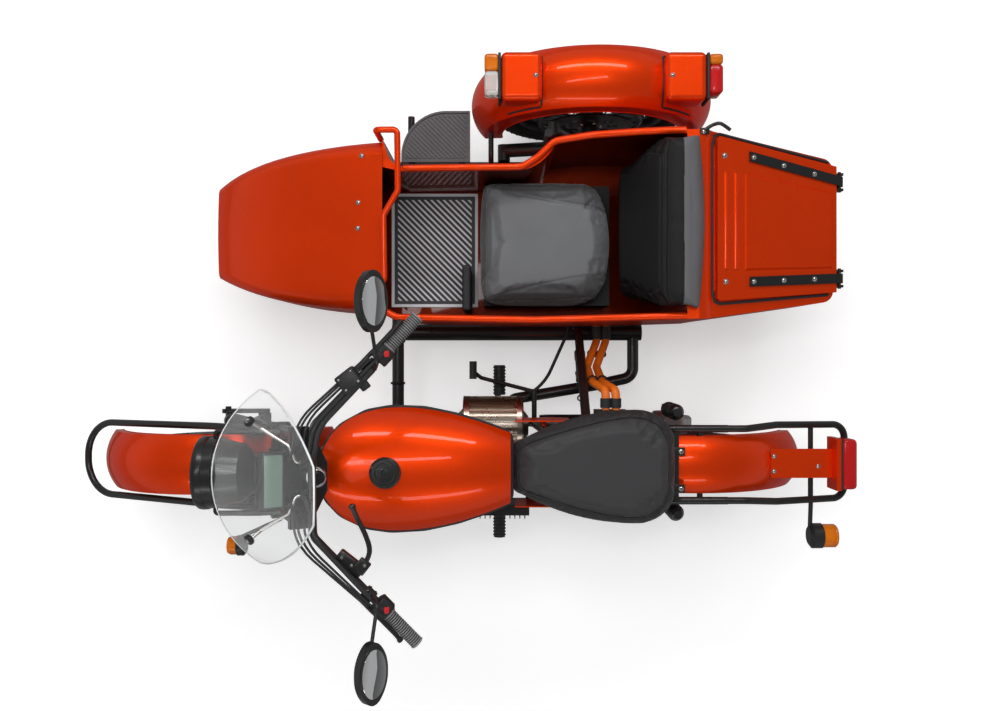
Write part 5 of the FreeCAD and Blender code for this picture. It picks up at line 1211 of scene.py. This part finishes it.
# %% The coil tree
coil_tree, inside = new_tree("Coil spring", Turns="Float", Radius="Float", Height="Float", Wire="Float")
spiral = step(coil_tree, "GeometryNodeCurveSpiral", {
    "Resolution": 26, "Rotations": inside["Turns"], "Start Radius": inside["Radius"],
    "End Radius": inside["Radius"], "Height": inside["Height"]})
section = step(coil_tree, "GeometryNodeCurvePrimitiveCircle", {"Resolution": 10, "Radius": inside["Wire"]})
wound = step(coil_tree, "GeometryNodeCurveToMesh", {"Curve": spiral[0], "Profile Curve": section[0],
                                                    "Fill Caps": True})
close_tree(coil_tree, wound[0], inside)


def springs(name, body, rows, replaced=()):
    """Coils of one piece: rows of (foot, head, turns, radius, wire) in millimetres."""
    whole = bmesh.new()
    for foot, head, turns, radius, wire in rows:
        blank = bpy.data.meshes.new("coil")
        blank.from_pydata([(0, 0, 0)], [], [])
        along = head - foot
        coil = grown(coil_tree, blank, {"Turns": float(turns), "Radius": float(radius), "Wire": float(wire),
                                        "Height": along.length, "Finish": finishes["black_metal"]})
        coil.transform(turned_to(along, foot))
        whole.from_mesh(coil)
    print(len(rows), "coils", end=" ")
    return show(name, whole, "black_metal", body, replaced, 60)


# %% Rear shocks and front dampers
SHOCK_FEET = ((160, 430.3), (-160, 404.3))  # each shock's y from the middle plane, and its foot's z
bodies, coils = bmesh.new(), []
for across, low_z in SHOCK_FEET:
    foot, head = Vector((700, BIKE_Y + across, low_z)), Vector((694, BIKE_Y + across, 672))
    along = head - foot
    reach = along.length
    lathe(bodies, [(0, 0), (13, 0), (13, 16), (20, 20), (20, 60), (26, 62), (26, 68), (20, 70),
                   (20, reach * 0.5), (8, reach * 0.5 + 2), (8, reach - 52), (25.5, reach - 50),
                   (26, reach - 38), (22, reach - 30), (17, reach - 16), (13, reach - 14), (13, reach),
                   (0, reach)], foot, along, 32)
    unit = along.normalized()
    coils.append((foot + unit * 70, foot + unit * (reach - 50), 7, 22.5, 3.6))
show("shock_bodies", bodies, "black_metal", "chassis", ("rear_shocks",))
springs("shock_springs", "chassis", coils, ("rear_shocks",))
springs("front_springs", "steering", [
    (STEM @ Vector((-90, y, -700)), STEM @ Vector((-90, y, -372)), 11, 24.5, 2.6) for y in (118, -118)])

# %% [markdown]
# ## Wheels
# Every spoke is screwed into a nipple in the rim.  Each wheel also has a valve, the disc's
# bolts and a ring at its hub.

# %% Wheel hardware
SPOKES = 36
RIM_RADIUS = 222
VALVE_PROFILE = [(0, 0), (6, 0), (6, 6), (4, 8), (4, 26), (5, 27), (5, 36), (3, 38), (0, 38)]
for wheel, (body, middle, disc_side) in WHEELS.items():
    middle = Vector(middle)
    rows = []
    for number, (c, s) in enumerate(circle(SPOKES)):
        way = 1 if (number // 2) % 2 else -1
        side = 1 if number % 2 else -1
        around, tangent = Vector((c, 0, s)), Vector((-s, 0, c))
        rows.append((middle + around * (RIM_RADIUS - 1) + Vector((0, side * 9, 0)),
                     -around + tangent * way * -0.14 + Vector((0, side * 0.13, 0)), 3.6))
    fittings(f"{wheel}_nipples", "nipple", rows, body)
    fittings(f"{wheel}_disc_bolts", "socket", [
        (middle + Vector((38 * c, disc_side * 64.5, 38 * s)), (0, disc_side, 0), 6)
        for c, s in circle(5)], body)
    make(f"{wheel}_valve", "black_metal", body,
         (lathe, VALVE_PROFILE, middle - Vector((0, 0, RIM_RADIUS + 1)), (0, 0, 1), 16),
         (hoop, middle - Vector((0, disc_side * 46, 0)), (0, 1, 0), 20, 3))

# %% [markdown]
# ## Motor and footrests
# Bolts hold the motor's covers, two bands run round its case, and the pegs wear ribbed
# rubbers.

# %% Bolts, bands and rubbers
MOTOR = Vector((113, -271, 400))
fittings("motor_bolts", "socket", [
    (MOTOR + Vector((way * 98, 84 * c, 84 * s)), (way, 0, 0), 6)
    for way in (1, -1) for c, s in circle(6, 0.5)])
make("motor_bands", "bronze_case", "chassis", *(
    (hoop, MOTOR + Vector((shift, 0, 0)), (1, 0, 0), 100, 2.2, 60) for shift in (-100, 100)))
make("peg_rubbers", "rubber", "chassis", *(
    (hoop, (134, BIKE_Y + way * (206 + 11.5 * number), 280), (0, 1, 0), 20.5, 2.6, 28)
    for way in (1, -1) for number in range(9)))

# %% [markdown]
# ## Hoses, ties and gaskets
# Brake hoses follow the fork and the frame.  The power cables are tied together and end in
# sleeves, and the lamp housings stand on black gaskets.

# %% Hoses and cables
FORK_HOSE = [(-62, 44, -70), (-66, 96, -150), (-60, 138, -300), (-30, 142, -520), (-16, 104, -640)]
FRAME_HOSES = (
    # path, radius
    ([(-330, -335, 700), (-200, -322, 690), (0, -318, 676), (160, -318, 690), (330, -300, 700)], 6),
    ([(-300, -405, 700), (-120, -420, 690), (60, -424, 676), (220, -424, 690)], 5),
    ([(200, -205, 300), (300, -120, 285), (380, 60, 300), (400, 300, 300), (380, 560, 300)], 6),
)
make("front_brake_hose", "rubber", "steering", (stem_rod, FORK_HOSE, 60, 5), soft_angle=60)
make("frame_hoses", "rubber", "chassis", *(
    (rod, rounded_path(path, 40), radius) for path, radius in FRAME_HOSES), soft_angle=60)

# %% Cable ties and sleeves
CABLE_SHIFTS = (0, 32)  # the second cable lies beside the first
TIES = (((455, -25, 373), (-42, -90, 84)), ((440, -112, 530), (8, -48, 112)))
SLEEVES = ((474, 70, 26, 340, 18), (470, -166, -196, 650, 17.5))  # x, from y, to y, z, radius
make("cable_ties", "black_plastic", "chassis", *(
    (hoop, (x + shift, y, z), along, 15.2, 3, 28) for (x, y, z), along in TIES for shift in CABLE_SHIFTS))
make("cable_sleeves", "rubber", "chassis", *(
    (rod, [(x + shift, start, z), (x + shift, stop, z)], radius, 24)
    for shift in CABLE_SHIFTS for x, start, stop, z, radius in SLEEVES))

# %% Gaskets under the lamp housings
GASKET_PATH = [(-40, 749), (60, 749), (64, 754), (64, 898), (60, 903), (-40, 903)]
make("housing_gaskets", "rubber", "chassis", *(
    (along_surface, "sidecar_fender", [(x + inward * shift, y) for shift, y in GASKET_PATH], 3.2, 1)
    for x, inward in ((202, 1), (708, -1))))
screws("housing_screws", [("lamp_housings", x, 826, 8) for x in (246, 664)])

# %% Clamps and bolts of the sidecar's frame
CLAMPS = (
    # middle, axis, radius, thickness, sides
    ((-230, -130, 260), (0, 1, 0), 22, 5, 28), ((-230, 20, 260), (0, 1, 0), 22, 5, 28),
    ((411, 74, 300), (0, 0, 1), 17, 5, 28), ((411, 73, 292), (0, 0, 1), 17, 5, 28),
    *(((408, -110 + y, 480 - y), (0, -1, 1), 17, 2.4, 24) for y in (-60, -20, 20)),
)
SLEEVE_PROFILE = [(15.4, 0), (19, 0), (19, 34), (17, 36), (17, 108), (19, 110), (19, 132), (15.4, 132),
                  (15.4, 0)]
make("frame_clamps", "black_metal", "chassis", *((hoop, *clamp) for clamp in CLAMPS))
fittings("clamp_bolts", "hex", [
    ((x + shift, -246, 290), (0, 0, 1), 8) for x in (-230, 165) for shift in (-16, 16)])
upper, lower = Vector((406.6, -180, 562)), Vector((409.4, -20, 402))
make("strut_sleeve", "zinc_steel", "chassis",
     (lathe, SLEEVE_PROFILE, lower, (upper - lower).normalized(), 28), (welded,))

# %% [markdown]
# The tub's inside faces are marked for painted shade: there the paint is darkened to stand for the shade
# inside its rooms.  The sidecar's wheel carries a black ring beside its disc.

# %% Painted shade inside the tub
BULKHEAD_X = 728
COCKPIT, TRUNK = Vector((100, 360, 520)), Vector((950, 360, 480))  # a point inside each room
tub = nodes["sidecar_tub"].data
values = []
# faces that look into the cockpit or the trunk get 1, for painted shade in the paint
for face in tub.polygons:
    centre = face.center / MM
    room = TRUNK if centre.x > BULKHEAD_X else COCKPIT
    values.append(float((room - centre).dot(face.normal) > 0))
tub.attributes.new("panel", "FLOAT", "FACE").data.foreach_set("value", values)
print("inner faces", round(sum(values)), "of", len(values))
make("sidecar_wheel_ring", "black_metal", "wheel_sidecar",
     (hoop, (450, 786, AXLE_HEIGHT), (0, 1, 0), 176, 7, 72))

# %% Mat ribs, painted lighter on top as a highlight
for node, top in (("floor_mat", 311.5), ("step_board", 298.5)):
    # the ribs' tops are marked for a painted highlight
    tone(nodes[node].data, lambda place, normal: place.z > top)
    print(node, "ribs toned")
